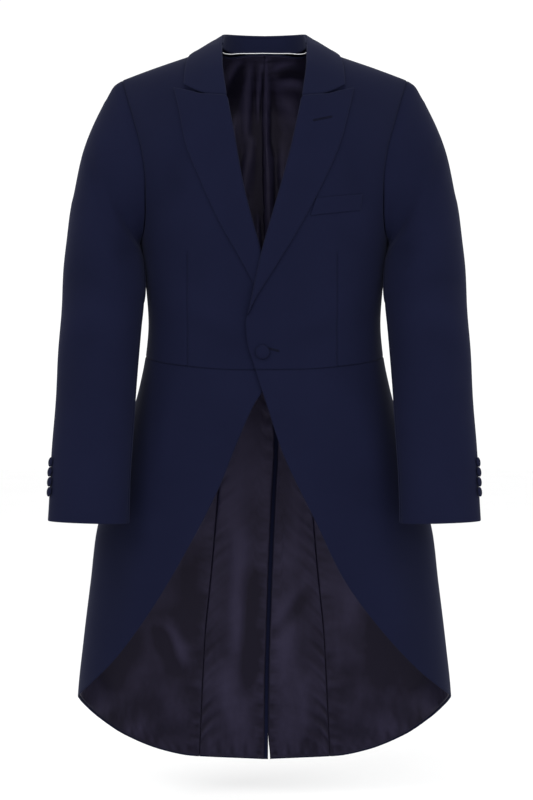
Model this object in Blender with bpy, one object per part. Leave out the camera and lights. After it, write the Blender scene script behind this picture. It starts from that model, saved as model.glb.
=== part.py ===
"""Single-button peak-lapel morning coat, worn shape with no wearer.

Metres, +Z up, the front faces -Y and +X is the wearer's left. The origin is
at the base of the neck, level with the shoulders that carry the coat.

Every cloth panel is a wall on one smooth form. A point of the form is given by
an angle (0 at the centre front, 90 at the side, 180 at the centre back) and a
height, or by its distance from the middle and a height.
"""

import math

import bmesh
import bpy
import numpy as np
from mathutils import Matrix, Vector

MM = 0.001

# Cloth
CLOTH = 2.0 * MM
LAPEL_CLOTH = 1.7 * MM
WELT_CLOTH = 1.5 * MM
LINING_CLOTH = 1.0 * MM
SEAM_GAP = 0.4 * MM
LAY_GAP = 0.3 * MM
LINING_GAP = 1.0 * MM
COLLAR_LAY_GAP = 1.0 * MM
BUTTON_GAP = 0.35 * MM

# Body form
SECTION_POWER = 2.35
SHOULDER_PEAK = 0.0365
SHOULDER_SLOPE = 0.348
SHOULDER_BLEND = 0.020
FRONT_SHOULDER_ROLL = 0.150
BACK_SHOULDER_ROLL = 0.100
NECK_SIDE = 0.0700
SHOULDER_TIP = 0.2050
NORMAL_STEP = 0.5 * MM

# Overlap of the wearer's left front over the right
OVERLAP_RISE = 4.9 * MM
OVERLAP_FULL_AT = 0.016
OVERLAP_NONE_AT = 0.075
OVERLAP_TOP = (-0.160, -0.260)
OVERLAP_BOTTOM = (-0.620, -0.480)

# Seams
SIDE_SEAM = 86.0
SIDE_SEAM_TURN = 168.0
BACK_SEAM_TURN = 268.0
FRONT_ARMHOLE_STEPS = 11
SIDE_ARMHOLE_STEPS = 6
BACK_ARMHOLE_STEPS = 6
SHOULDER_EASE = 2.0
FRONT_ARMHOLE_SHARE = 0.62
BACK_ARMHOLE_SHARE = 0.14
BACK_SEAM_SHARE = 0.39
CUTAWAY_SPLIT = 0.50
LINING_INSET = 4.0 * MM
SHARP_ANGLE = 40.0
VENT_TOP = -0.455
VENT_OPEN_FROM = -0.960
VENT_OPENING = 3.0 * MM
VENT_FACING = 7.0 * MM
VENT_FACING_FADE = 0.020
HEM_MARGIN = 3.0 * MM

# Sleeves
SLEEVE_RINGS = 14
SLEEVE_RING_EASE = 1.15
SLEEVE_START = 0.03
SLEEVE_STEP = 0.01
FOREARM_STOP = 11
HINDARM_STOP = -5
# Cosines between sleeve and body directions over which one turns into the other
RUNS_ON_FROM = 0.4
RUNS_ON_AT = 0.9

# Buttons, covered in the coat's cloth
FRONT_BUTTON_DIAMETER = 19.0 * MM
FRONT_BUTTON_THICKNESS = 6.0 * MM
FRONT_BUTTON_AT = (-0.0025, -0.4289)
CUFF_BUTTON_DIAMETER = 13.5 * MM
CUFF_BUTTON_THICKNESS = 5.0 * MM
CUFF_BUTTON_PITCH = 14.0 * MM
CUFF_BUTTON_COUNT = 4
CUFF_BUTTON_FROM_HEM = 0.041
CUFF_BUTTON_TURN = 18.0
CUFF_SPAN = 0.1
BUTTON_SEGMENTS = 12
BUTTON_RINGS = 6

PIPING_RADIUS = 1.0 * MM
PIPING_POINTS = 17
PIPING_ENDS_AT = 0.56
PIPING_GAP = 0.5 * MM
PIPING_RISE = 3.0 * MM
PIPING_DROP = 8.0 * MM
PIPING_DROP_FROM = 0.20


class Table:
    """Rows of named columns, read between the rows along a smooth curve."""

    def __init__(self, columns, *rows):
        self.columns = columns.split()
        self.rows = np.array(rows, dtype=float)
        self.keys = self.rows[:, 0]

    def read(self, column, key):
        """The column's value at a key, with no overshoot between rows."""
        keys = self.keys
        values = self.rows[:, self.columns.index(column)]
        if key <= keys[0]:
            return values[0]
        if key >= keys[-1]:
            return values[-1]
        step = int(np.searchsorted(keys, key)) - 1
        slopes = np.diff(values) / np.diff(keys)
        span = keys[step + 1] - keys[step]
        start = self._tangent(slopes, step)
        end = self._tangent(slopes, step + 1)
        t = (key - keys[step]) / span
        return ((2 * t**3 - 3 * t**2 + 1) * values[step]
                + (t**3 - 2 * t**2 + t) * span * start
                + (-2 * t**3 + 3 * t**2) * values[step + 1]
                + (t**3 - t**2) * span * end)

    @staticmethod
    def _tangent(slopes, row):
        if row == 0:
            return slopes[0]
        if row == len(slopes):
            return slopes[-1]
        before = slopes[row - 1]
        after = slopes[row]
        if before * after <= 0:
            return 0.0
        return 2 * before * after / (before + after)


BODY = Table(
    "height half_width front_depth back_depth",
    (-1.040, 0.2745, 0.137, 0.148),
    (-0.913, 0.2678, 0.135, 0.142),
    (-0.840, 0.2599, 0.132, 0.137),
    (-0.754, 0.2498, 0.129, 0.132),
    (-0.690, 0.2426, 0.127, 0.128),
    (-0.600, 0.2180, 0.123, 0.120),
    (-0.520, 0.1925, 0.117, 0.108),
    (-0.473, 0.1793, 0.113, 0.100),
    (-0.430, 0.1706, 0.110, 0.093),
    (-0.387, 0.1672, 0.111, 0.093),
    (-0.345, 0.1700, 0.115, 0.097),
    (-0.300, 0.1745, 0.120, 0.104),
    (-0.250, 0.1810, 0.124, 0.112),
    (-0.190, 0.1945, 0.126, 0.118),
    (-0.120, 0.2070, 0.124, 0.115),
    (-0.040, 0.2200, 0.120, 0.108),
    (0.040, 0.2220, 0.118, 0.105),
)

WAIST_SEAM = Table(
    "angle height",
    (-15.0, -0.4540),
    (10.0, -0.4530),
    (45.0, -0.4450),
    (86.0, -0.4330),
    (125.0, -0.4280),
    (180.0, -0.4300),
)

ARMHOLE = Table(
    "turn half_width height",
    (0.0, 0.2050, -0.0352),
    (25.0, 0.1960, -0.0640),
    (50.0, 0.1840, -0.1030),
    (75.0, 0.1720, -0.1480),
    (100.0, 0.1672, -0.1900),
    (125.0, 0.1675, -0.2270),
    (150.0, 0.1705, -0.2560),
    (180.0, 0.1783, -0.2700),
    (210.0, 0.1705, -0.2560),
    (235.0, 0.1675, -0.2270),
    (260.0, 0.1672, -0.1900),
    (285.0, 0.1720, -0.1480),
    (310.0, 0.1840, -0.1030),
    (335.0, 0.1960, -0.0640),
    (360.0, 0.2050, -0.0352),
)

# Roll line, closing edge and top of the cutaway, from the neck down
FRONT_EDGE = {
    "left": Table(
        "fall from_middle height",
        (0.00, 0.0700, 0.0112),
        (0.03, 0.0625, -0.0070),
        (0.06, 0.0598, -0.0274),
        (0.16, 0.0509, -0.0792),
        (0.27, 0.0409, -0.1290),
        (0.38, 0.0290, -0.1774),
        (0.51, 0.0125, -0.2345),
        (0.65, -0.0039, -0.2927),
        (0.74, -0.0131, -0.3326),
        (0.81, -0.0200, -0.3656),
        (0.86, -0.0258, -0.3890),
        (0.91, -0.0240, -0.4124),
        (1.00, -0.0125, -0.4537),
    ),
    "right": Table(
        "fall from_middle height",
        (0.00, 0.0700, 0.0112),
        (0.03, 0.0610, -0.0070),
        (0.06, 0.0580, -0.0274),
        (0.16, 0.0513, -0.0750),
        (0.27, 0.0416, -0.1290),
        (0.42, 0.0297, -0.1963),
        (0.53, 0.0179, -0.2437),
        (0.65, 0.0048, -0.2906),
        (0.74, -0.0040, -0.3300),
        (0.81, -0.0100, -0.3650),
        (0.86, -0.0130, -0.3890),
        (0.92, -0.0105, -0.4200),
        (1.00, -0.0045, -0.4537),
    ),
}

# Lower front edge, from the waist seam to the side
CUTAWAY = {
    "left": Table(
        "fall from_middle height",
        (0.00, -0.0125, -0.4537),
        (0.05, -0.0048, -0.4778),
        (0.11, 0.0055, -0.5088),
        (0.22, 0.0241, -0.5653),
        (0.42, 0.0710, -0.6631),
        (0.58, 0.1091, -0.7411),
        (0.74, 0.1570, -0.8076),
        (0.88, 0.2120, -0.8680),
        (1.00, 0.2640, -0.9135),
    ),
    "right": Table(
        "fall from_middle height",
        (0.00, -0.0045, -0.4537),
        (0.06, 0.0034, -0.4840),
        (0.10, 0.0131, -0.4990),
        (0.20, 0.0344, -0.5460),
        (0.36, 0.0628, -0.6164),
        (0.54, 0.1035, -0.6958),
        (0.72, 0.1556, -0.7838),
        (0.86, 0.2050, -0.8513),
        (1.00, 0.2620, -0.9110),
    ),
}

HEM = Table(
    "angle height",
    (78.0, -0.9120),
    (90.0, -0.9240),
    (103.0, -0.9405),
    (118.0, -0.9665),
    (133.0, -0.9960),
    (150.0, -1.0235),
    (160.0, -1.0335),
    (180.0, -1.0400),
)

BACK_SEAM = Table(
    "fall angle height",
    (0.00, 124.04, -0.1771),
    (0.25, 137.5, -0.2450),
    (0.50, 149.5, -0.3100),
    (0.75, 158.8, -0.3720),
    (1.00, 164.5, -0.4290),
)

TAIL_SEAM = Table(
    "fall from_middle height",
    (0.00, 0.0553, -0.4290),
    (0.32, 0.0690, -0.6200),
    (0.54, 0.0800, -0.7500),
    (0.70, 0.0900, -0.8500),
    (1.00, 0.0990, -1.0335),
)

# Centre back seam and vent; the coat hangs a little off the middle
CENTRE_BACK = Table(
    "height shift",
    (-1.040, 0.0020),
    (-0.920, 0.0025),
    (-0.840, 0.0055),
    (-0.740, 0.0100),
    (-0.650, 0.0160),
    (-0.560, 0.0200),
    (-0.455, 0.0150),
    (-0.200, 0.0000),
    (0.020, 0.0000),
)

NECKLINE = Table(
    "from_middle height",
    (0.0000, 0.0140),
    (0.0200, 0.0125),
    (0.0350, 0.0100),
    (0.0500, 0.0075),
    (0.0600, 0.0075),
    (0.0700, 0.0112),
)

# Outer edge of each lapel, from the peak down to the roll line's lower end
LAPEL_EDGE = {
    "left": Table(
        "fall from_middle height",
        (0.00, 0.1246, -0.0597),
        (0.13, 0.1145, -0.1023),
        (0.24, 0.1049, -0.1379),
        (0.47, 0.0761, -0.2044),
        (0.66, 0.0476, -0.2577),
        (0.85, 0.0103, -0.3186),
        (0.97, -0.0150, -0.3600),
        (1.00, -0.0190, -0.3700),
    ),
    "right": Table(
        "fall from_middle height",
        (0.00, 0.1264, -0.0593),
        (0.11, 0.1177, -0.0940),
        (0.25, 0.1091, -0.1379),
        (0.42, 0.0886, -0.1906),
        (0.62, 0.0628, -0.2478),
        (0.79, 0.0365, -0.2950),
        (0.92, 0.0158, -0.3326),
        (1.00, 0.0010, -0.3600),
    ),
}
LAPEL_ROLL_FROM = {"left": 0.158, "right": 0.166}
LAPEL_ROLL_TO = {"left": 0.835, "right": 0.80}
LAPEL_COLUMNS = 5
LAPEL_ROWS = 18
LAPEL_EASE = 1.3

# Edge where the lapel's top meets the collar leaf
GORGE = Table(
    "across height",
    (0.00, -0.0780),
    (0.24, -0.0752),
    (0.39, -0.0732),
    (0.52, -0.0706),
    (0.71, -0.0657),
    (0.85, -0.0627),
    (1.00, -0.0597),
)

# Collar from the centre back to its front end: crease at the top, outer edge
# of the leaf (side -1 lies on the front, +1 on the back), and base of the stand
COLLAR = Table(
    "along crease_x crease_y crease_z edge_x edge_z side base_x base_y base_z",
    (0.00, 0.0000, 0.0740, 0.0440, 0.0000, -0.0160, 1.0, 0.0000, 0.0690, 0.0150),
    (0.18, 0.0300, 0.0690, 0.0438, 0.0420, -0.0140, 1.0, 0.0300, 0.0620, 0.0135),
    (0.34, 0.0500, 0.0520, 0.0418, 0.0760, -0.0080, 1.0, 0.0500, 0.0430, 0.0120),
    (0.48, 0.0585, 0.0270, 0.0370, 0.0960, -0.0010, 1.0, 0.0610, 0.0190, 0.0130),
    (0.60, 0.0600, -0.0020, 0.0276, 0.1060, -0.0060, -1.0, 0.0645, -0.0060, 0.0130),
    (0.74, 0.0602, -0.0360, 0.0128, 0.1100, -0.0220, -1.0, 0.0640, -0.0330, 0.0050),
    (0.88, 0.0590, -0.0790, -0.0210, 0.1116, -0.0410, -1.0, 0.0600, -0.0600, -0.0120),
    (1.00, 0.0515, -0.1128, -0.0752, 0.1120, -0.0556, -1.0, 0.0560, -0.0900, -0.0500),
)
COLLAR_STEPS = 20
LEAF_ROWS = 5
STAND_STEPS = 10
STAND_ROWS = 3
STAND_ENDS_AT = 0.74
STAND_REACH = 0.96
STAND_SET_IN = 0.8 * MM
LEAF_CROWN = 1.5 * MM
GORGE_BOW = 5.5 * MM
GORGE_BOW_FORWARD = 2.6 * MM
GORGE_BOW_FROM = 0.8

# Sleeve sections from the armhole down: outer and inner ends of the width
SLEEVE = Table(
    "fall outer_x outer_z inner_x inner_z centre_y half_depth",
    (0.00, 0.2050, -0.0352, 0.1783, -0.2700, 0.000, 0.076),
    (0.04, 0.2190, -0.0475, 0.1790, -0.2735, -0.001, 0.075),
    (0.09, 0.2330, -0.0740, 0.1790, -0.2775, -0.004, 0.074),
    (0.16, 0.2490, -0.1100, 0.1780, -0.2825, -0.010, 0.072),
    (0.24, 0.2620, -0.1500, 0.1760, -0.2900, -0.018, 0.069),
    (0.33, 0.2710, -0.1960, 0.1735, -0.3020, -0.027, 0.066),
    (0.42, 0.2780, -0.2450, 0.1718, -0.3220, -0.035, 0.063),
    (0.52, 0.2840, -0.3030, 0.1710, -0.3550, -0.043, 0.059),
    (0.62, 0.2870, -0.3660, 0.1735, -0.3980, -0.052, 0.055),
    (0.72, 0.2900, -0.4350, 0.1775, -0.4500, -0.064, 0.050),
    (0.82, 0.2925, -0.5100, 0.1810, -0.5150, -0.084, 0.045),
    (0.91, 0.2955, -0.5850, 0.1840, -0.5880, -0.107, 0.040),
    (1.00, 0.2972, -0.6605, 0.1850, -0.6640, -0.128, 0.036),
)
SLEEVE_SETTLES_AT = 0.20
# How far the hindarm seam has turned towards the outside of the arm
HINDARM_TWIST = Table(
    "fall turn",
    (0.0, 0.0),
    (0.5, 22.0),
    (1.0, 62.0),
)

# Breast welt corners on the wearer's left front
WELT_TOP = ((0.0709, -0.2171), (0.1361, -0.2090))
WELT_BOTTOM = ((0.0629, -0.2413), (0.1325, -0.2317))

# Colours read from the photograph, turned into linear light
COLOURS = {
    "navy_cloth": ((0.0094, 0.0103, 0.0279), 0.85),
    "collar_cloth": ((0.0124, 0.0144, 0.0350), 0.85),
    "lining": ((0.0175, 0.0168, 0.0319), 0.42),
    "piping": ((0.800, 0.800, 0.830), 0.60),
    "button_cloth": ((0.0080, 0.0088, 0.0220), 0.70),
}


def fade(value, start, end):
    """0 before start, 1 after end, smooth between."""
    share = min(1.0, max(0.0, (value - start) / (end - start)))
    return share * share * (3.0 - 2.0 * share)


def shoulder_height(from_middle):
    """Height of the shoulder line, rounded over at the middle."""
    return SHOULDER_PEAK - SHOULDER_SLOPE * math.hypot(from_middle, SHOULDER_BLEND)


def shoulder_round(from_middle, height, behind):
    """How much of the chest's depth is reached below the shoulder line."""
    roll = BACK_SHOULDER_ROLL if behind else FRONT_SHOULDER_ROLL
    drop = (shoulder_height(from_middle) - height) / roll
    drop = min(1.0, max(0.0, drop))
    return math.sqrt(1.0 - (1.0 - drop) ** 2)


def body_depth(height, behind):
    return BODY.read("back_depth" if behind else "front_depth", height)


def body_point(angle, height):
    """Point of the form at an angle from the centre front."""
    turn = math.radians(angle)
    shape = 2.0 / SECTION_POWER
    half_width = BODY.read("half_width", height)
    across = half_width * math.copysign(abs(math.sin(turn)) ** shape, math.sin(turn))
    behind = math.cos(turn) < 0.0
    reach = body_depth(height, behind) * abs(math.cos(turn)) ** shape
    reach *= shoulder_round(across, height, behind)
    return Vector((across, reach if behind else -reach, height))


def angle_of(from_middle, height, behind=False):
    """Angle whose point lies this far from the middle at a height."""
    share = min(1.0, abs(from_middle) / BODY.read("half_width", height))
    angle = math.degrees(math.asin(share ** (SECTION_POWER / 2.0)))
    angle = math.copysign(angle, from_middle)
    return 180.0 - angle if behind else angle


def form_value(point):
    """Zero on the form, growing outwards."""
    behind = point.y > 0.0
    depth = body_depth(point.z, behind) * shoulder_round(point.x, point.z, behind)
    width_share = (abs(point.x) / BODY.read("half_width", point.z)) ** SECTION_POWER
    return abs(point.y) ** SECTION_POWER - depth**SECTION_POWER * (1.0 - width_share)


def form_normal(point):
    """Outward direction of the form at a point."""
    slopes = []
    for axis in range(3):
        step = Vector((0.0, 0.0, 0.0))
        step[axis] = NORMAL_STEP
        slopes.append(form_value(point + step) - form_value(point - step))
    return Vector(slopes).normalized()


def overlap_rise(from_middle, height):
    """Height of the wearer's left front over the form, where it laps."""
    near = 1.0 - fade(from_middle, OVERLAP_FULL_AT, OVERLAP_NONE_AT)
    below = 1.0 - fade(height, OVERLAP_TOP[1], OVERLAP_TOP[0])
    above = fade(height, OVERLAP_BOTTOM[0], OVERLAP_BOTTOM[1])
    return OVERLAP_RISE * near * below * above


def on_form(angle, height, lift, lapped=False):
    """Point lifted off the form, on top of the lap if the panel has one."""
    point = body_point(angle, height)
    if lapped:
        lift = lift + overlap_rise(point.x, height)
    return point + form_normal(point) * lift


# Lines on the form: each takes a share from 0 to 1 and gives angle and height


def edge_line(table, start=0.0, end=1.0, behind=False):
    """Line through a table of distances from the middle."""
    def line(share):
        fall = start + (end - start) * share
        height = table.read("height", fall)
        return np.array((angle_of(table.read("from_middle", fall), height, behind), height))
    return line


def angle_line(table, start=0.0, end=1.0):
    """Line through a table of angles by share."""
    def line(share):
        fall = start + (end - start) * share
        return np.array((table.read("angle", fall), table.read("height", fall)))
    return line


def level_line(table, start, end):
    """Line through a table of heights by angle."""
    def line(share):
        angle = start + (end - start) * share
        return np.array((angle, table.read("height", angle)))
    return line


def armhole_line(start, end, ease=1.0):
    """Part of the armhole, from one turn to another."""
    def line(share):
        turn = start + (end - start) * share**ease
        behind = turn > 180.0
        height = ARMHOLE.read("height", turn)
        return np.array((angle_of(ARMHOLE.read("half_width", turn), height, behind), height))
    return line


def shoulder_line(start, end, behind):
    """Shoulder seam between two distances from the middle."""
    def line(share):
        from_middle = start + (end - start) * share
        height = shoulder_height(from_middle)
        return np.array((angle_of(from_middle, height, behind), height))
    return line


def straight_line(start, end):
    """Straight run between two angle and height pairs."""
    first = np.array(start)
    last = np.array(end)
    return lambda share: first + (last - first) * share


def chain(*runs):
    """One line from several, each with the share at which it ends."""
    def line(share):
        start = 0.0
        for end, run in runs:
            if share <= end + 1e-9:
                return run((share - start) / (end - start))
            start = end
        return runs[-1][1](1.0)
    return line


def centre_back_angle(hand, height):
    """Angle of the centre back seam, seen from one side of the coat."""
    shift = CENTRE_BACK.read("shift", height) * hand
    return angle_of(shift, height, behind=True)


def stations(*runs):
    """Shares along a chain: for each run, where it ends and its row count."""
    shares = [0.0]
    start = 0.0
    for end, count in runs:
        shares += [start + (end - start) * step / count for step in range(1, count + 1)]
        start = end
    return shares


def even(count):
    return [step / count for step in range(count + 1)]


def patch(top, bottom, left, right, columns, rows, inset=SEAM_GAP / 2):
    """Grid of angle and height pairs inside four lines, its rim drawn in."""
    def blend(across, down):
        corners = ((1 - across) * (1 - down) * left(0.0) + across * (1 - down) * right(0.0)
                   + (1 - across) * down * left(1.0) + across * down * right(1.0))
        return ((1 - down) * top(across) + down * bottom(across)
                + (1 - across) * left(down) + across * right(down) - corners)

    grid = [[blend(across, down) for across in columns] for down in rows]
    grid[0] = [top(across) for across in columns]
    grid[-1] = [bottom(across) for across in columns]
    for row, down in zip(grid, rows):
        row[0], row[-1] = left(down), right(down)
    for row in grid:
        row[0], row[-1] = drawn_in(row[0], row[1], inset), drawn_in(row[-1], row[-2], inset)
    for column in range(len(columns)):
        first = drawn_in(grid[0][column], grid[1][column], inset)
        last = drawn_in(grid[-1][column], grid[-2][column], inset)
        grid[0][column], grid[-1][column] = first, last
    return grid


def drawn_in(rim, inside, distance):
    """Rim point moved towards the next point inside by a distance."""
    start = body_point(*rim)
    low, high = 0.0, 0.5
    for _ in range(16):
        middle = (low + high) / 2
        if (body_point(*(rim + (inside - rim) * middle)) - start).length < distance:
            low = middle
        else:
            high = middle
    return rim + (inside - rim) * low


def material(name):
    """Principled material of one of the coat's colours."""
    found = bpy.data.materials.get(name)
    if found:
        return found
    colour, roughness = COLOURS[name]
    made = bpy.data.materials.new(name)
    made.use_nodes = True
    shader = made.node_tree.nodes["Principled BSDF"]
    shader.inputs["Base Color"].default_value = (*colour, 1.0)
    shader.inputs["Roughness"].default_value = roughness
    shader.inputs["Metallic"].default_value = 0.0
    return made


def add_object(mesh, name, colour, collection):
    for polygon in mesh.polygons:
        polygon.use_smooth = True
    mesh.set_sharp_from_angle(angle=math.radians(SHARP_ANGLE))
    mesh.materials.append(material(colour))
    made = bpy.data.objects.new(name, mesh)
    collection.objects.link(made)
    return made


def add_wall(name, outer, inner, colour, collection, hand=1):
    """Closed wall between two grids of points, mirrored for the right hand."""
    shape = bmesh.new()
    side = Matrix.Diagonal((hand, 1.0, 1.0))
    faces_out = [[shape.verts.new(side @ point) for point in row] for row in outer]
    faces_in = [[shape.verts.new(side @ point) for point in row] for row in inner]
    last_row = len(outer) - 1
    last_column = len(outer[0]) - 1
    for row in range(last_row):
        for column in range(last_column):
            for skin in (faces_out, faces_in):
                shape.faces.new((skin[row][column], skin[row][column + 1],
                                 skin[row + 1][column + 1], skin[row + 1][column]))
    for row in range(last_row):
        for column in (0, last_column):
            shape.faces.new((faces_out[row][column], faces_out[row + 1][column],
                             faces_in[row + 1][column], faces_in[row][column]))
    for column in range(last_column):
        for row in (0, last_row):
            shape.faces.new((faces_out[row][column], faces_out[row][column + 1],
                             faces_in[row][column + 1], faces_in[row][column]))
    bmesh.ops.recalc_face_normals(shape, faces=shape.faces)
    mesh = bpy.data.meshes.new(name)
    shape.to_mesh(mesh)
    shape.free()
    return add_object(mesh, name, colour, collection)


def add_panel(name, grid, lift, thickness, colour, collection, hand=1, lapped=False):
    """Cloth wall on the form, its outer face lifted and its inner face behind."""
    outer = [[on_form(angle, height, lift, lapped) for angle, height in row] for row in grid]
    inner = [[on_form(angle, height, lift - thickness, lapped) for angle, height in row]
             for row in grid]
    return add_wall(name, outer, inner, colour, collection, hand)


def front_grid(side):
    """Front from the roll line to the side seam, shoulder to waist."""
    edge = edge_line(FRONT_EDGE[side])
    edge_angle = edge(1.0)[0]
    side_top = armhole_line(0.0, SIDE_SEAM_TURN)(1.0)
    side_bottom = (SIDE_SEAM, WAIST_SEAM.read("height", SIDE_SEAM))
    upper = FRONT_ARMHOLE_SHARE
    left = chain((upper, lambda share: edge(upper * share**SHOULDER_EASE)),
                 (1.0, lambda share: edge(upper + (1.0 - upper) * share)))
    right = chain((upper, armhole_line(0.0, SIDE_SEAM_TURN, SHOULDER_EASE)),
                  (1.0, straight_line(side_top, side_bottom)))
    return patch(shoulder_line(NECK_SIDE, SHOULDER_TIP, behind=False),
                 level_line(WAIST_SEAM, edge_angle, SIDE_SEAM),
                 left, right, even(10), stations((upper, FRONT_ARMHOLE_STEPS), (1.0, 6)))


def sidebody_grid():
    """Side panel under the arm, from the side seam to the curved back seam."""
    side_top = armhole_line(0.0, SIDE_SEAM_TURN)(1.0)
    side_bottom = (SIDE_SEAM, WAIST_SEAM.read("height", SIDE_SEAM))
    back_angle = BACK_SEAM.read("angle", 1.0)
    return patch(armhole_line(SIDE_SEAM_TURN, BACK_SEAM_TURN),
                 level_line(WAIST_SEAM, SIDE_SEAM, back_angle),
                 straight_line(side_top, side_bottom), angle_line(BACK_SEAM),
                 even(SIDE_ARMHOLE_STEPS), even(6))


def back_grid(side, inset=SEAM_GAP / 2, hem_margin=0.0):
    """Back from neck to hem, narrow at the waist, split at the centre."""
    hand = 1 if side == "left" else -1
    shoulder = shoulder_line(NECK_SIDE, SHOULDER_TIP, behind=True)
    neck_share = (180.0 - shoulder(0.0)[0]) / (180.0 - shoulder(1.0)[0])
    bottom_height = HEM.read("height", 180.0) + hem_margin


    def centre(share):
        neck = NECKLINE.read("height", 0.0)
        if share < BACK_ARMHOLE_SHARE:
            share = BACK_ARMHOLE_SHARE * (share / BACK_ARMHOLE_SHARE) ** SHOULDER_EASE
        height = neck + (bottom_height - neck) * share
        return np.array((centre_back_angle(hand, height), height))

    def neckline(share):
        from_middle = NECK_SIDE * share
        height = NECKLINE.read("height", from_middle)
        return np.array((angle_of(from_middle, height, behind=True), height))

    outer_side = chain(
        (BACK_ARMHOLE_SHARE, armhole_line(360.0, BACK_SEAM_TURN, SHOULDER_EASE)),
        (BACK_SEAM_SHARE, angle_line(BACK_SEAM)),
        (1.0, edge_line(TAIL_SEAM, behind=True)))
    hem_from = centre(1.0)[0]
    hem_to = outer_side(1.0)[0]

    def hem(share):
        angle = hem_from + (hem_to - hem_from) * share
        return np.array((angle, HEM.read("height", angle) + hem_margin))

    top = chain((neck_share, neckline), (1.0, shoulder))
    return patch(top, hem, centre, outer_side, stations((neck_share, 3), (1.0, 6)),
                 stations((BACK_ARMHOLE_SHARE, BACK_ARMHOLE_STEPS), (BACK_SEAM_SHARE, 6),
                          (1.0, 9)), inset)


def skirt_grid(side, hem_margin=0.0, inset=SEAM_GAP / 2):
    """Skirt from the cutaway front edge round to the tail seam."""
    cutaway = edge_line(CUTAWAY[side])
    lower_edge = edge_line(CUTAWAY[side], start=CUTAWAY_SPLIT)
    tail = edge_line(TAIL_SEAM, behind=True)
    side_angle = cutaway(1.0)[0]
    hem_end = tail(1.0)[0]
    bottom = chain((0.5, lower_edge), (1.0, level_line(HEM, side_angle, hem_end)))

    def raised(share):
        return bottom(share) + np.array((0.0, hem_margin))

    start_angle = cutaway(0.0)[0]
    return patch(level_line(WAIST_SEAM, start_angle, BACK_SEAM.read("angle", 1.0)),
                 raised, edge_line(CUTAWAY[side], end=CUTAWAY_SPLIT), tail,
                 even(16), even(9), inset)


def lapel_grid(side):
    """Lapel from the roll line to its outer edge, gorge to lower end."""
    roll = edge_line(FRONT_EDGE[side], LAPEL_ROLL_FROM[side], LAPEL_ROLL_TO[side])
    edge = edge_line(LAPEL_EDGE[side])
    inner_end = FRONT_EDGE[side].read("from_middle", LAPEL_ROLL_FROM[side])
    peak = LAPEL_EDGE[side].read("from_middle", 0.0)
    top_height = FRONT_EDGE[side].read("height", LAPEL_ROLL_FROM[side])
    peak_height = LAPEL_EDGE[side].read("height", 0.0)

    def gorge(share):
        from_middle = inner_end + (peak - inner_end) * share
        ends = (1 - share) * (top_height - GORGE.read("height", 0.0))
        ends += share * (peak_height - GORGE.read("height", 1.0))
        height = GORGE.read("height", share) + ends
        return np.array((angle_of(from_middle, height), height))

    return patch(gorge, straight_line(roll(1.0), edge(1.0)), roll, edge,
                 even(LAPEL_COLUMNS), [share**LAPEL_EASE for share in even(LAPEL_ROWS)],
                 inset=SEAM_GAP)


def welt_grid():
    """Slanted welt of the breast pocket."""
    grid = []
    for down in even(2):
        row = []
        for across in even(4):
            top = np.array(WELT_TOP[0]) * (1 - across) + np.array(WELT_TOP[1]) * across
            bottom = np.array(WELT_BOTTOM[0]) * (1 - across) + np.array(WELT_BOTTOM[1]) * across
            from_middle, height = top * (1 - down) + bottom * down
            row.append((angle_of(from_middle, height), height))
        grid.append(row)
    return grid


def offset_grid(points, distance):
    """Grid moved along its own normals."""
    moved = []
    for row_index, row in enumerate(points):
        above = points[max(0, row_index - 1)]
        below = points[min(len(points) - 1, row_index + 1)]
        moved_row = []
        for column, point in enumerate(row):
            before = row[max(0, column - 1)]
            after = row[min(len(row) - 1, column + 1)]
            normal = (after - before).cross(below[column] - above[column]).normalized()
            moved_row.append(point + normal * distance)
        moved.append(moved_row)
    return moved


def collar_line(prefix, along):
    """Crease or base of the collar at a signed share from the centre back."""
    share = abs(along)
    point = Vector([COLLAR.read(f"{prefix}_{axis}", share) for axis in "xyz"])
    point.x = math.copysign(point.x, along)
    return point


def collar_leaf_edge(along):
    """Outer edge of the leaf, resting on the shoulders."""
    share = abs(along)
    from_middle = COLLAR.read("edge_x", share)
    behind = COLLAR.read("side", share) > 0.0
    height = min(COLLAR.read("edge_z", share), shoulder_height(from_middle))
    point = on_form(angle_of(from_middle, height, behind), height, COLLAR_LAY_GAP + CLOTH)
    point.x = math.copysign(point.x, along)
    return point


def collar_fall_points():
    """Leaf of the collar from the crease to its outer edge."""
    rows = []
    for down in even(LEAF_ROWS):
        row = []
        for step in range(-COLLAR_STEPS, COLLAR_STEPS + 1):
            along = step / COLLAR_STEPS
            crease = collar_line("crease", along)
            edge = collar_leaf_edge(along)
            point = crease.lerp(edge, down)
            bulge = LEAF_CROWN * math.sin(math.pi * down)
            point += form_normal(point) * bulge
            bow = math.sin(math.pi * down) * fade(abs(along), GORGE_BOW_FROM, 1.0)
            point += Vector((0.0, -GORGE_BOW_FORWARD, -GORGE_BOW)) * bow
            row.append(point)
        rows.append(row)
    return rows


def collar_stand_points():
    """Stand inside the leaf, from the neck seam to just under the crease."""
    rows = []
    for up in even(STAND_ROWS):
        row = []
        for step in range(-STAND_STEPS, STAND_STEPS + 1):
            along = STAND_ENDS_AT * step / STAND_STEPS
            base = collar_line("base", along)
            crease = collar_line("crease", along)
            inward = Vector((-base.x, -base.y, 0.0)).normalized()
            row.append(base.lerp(crease, up * STAND_REACH) + inward * STAND_SET_IN)
        rows.append(row)
    return rows


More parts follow.
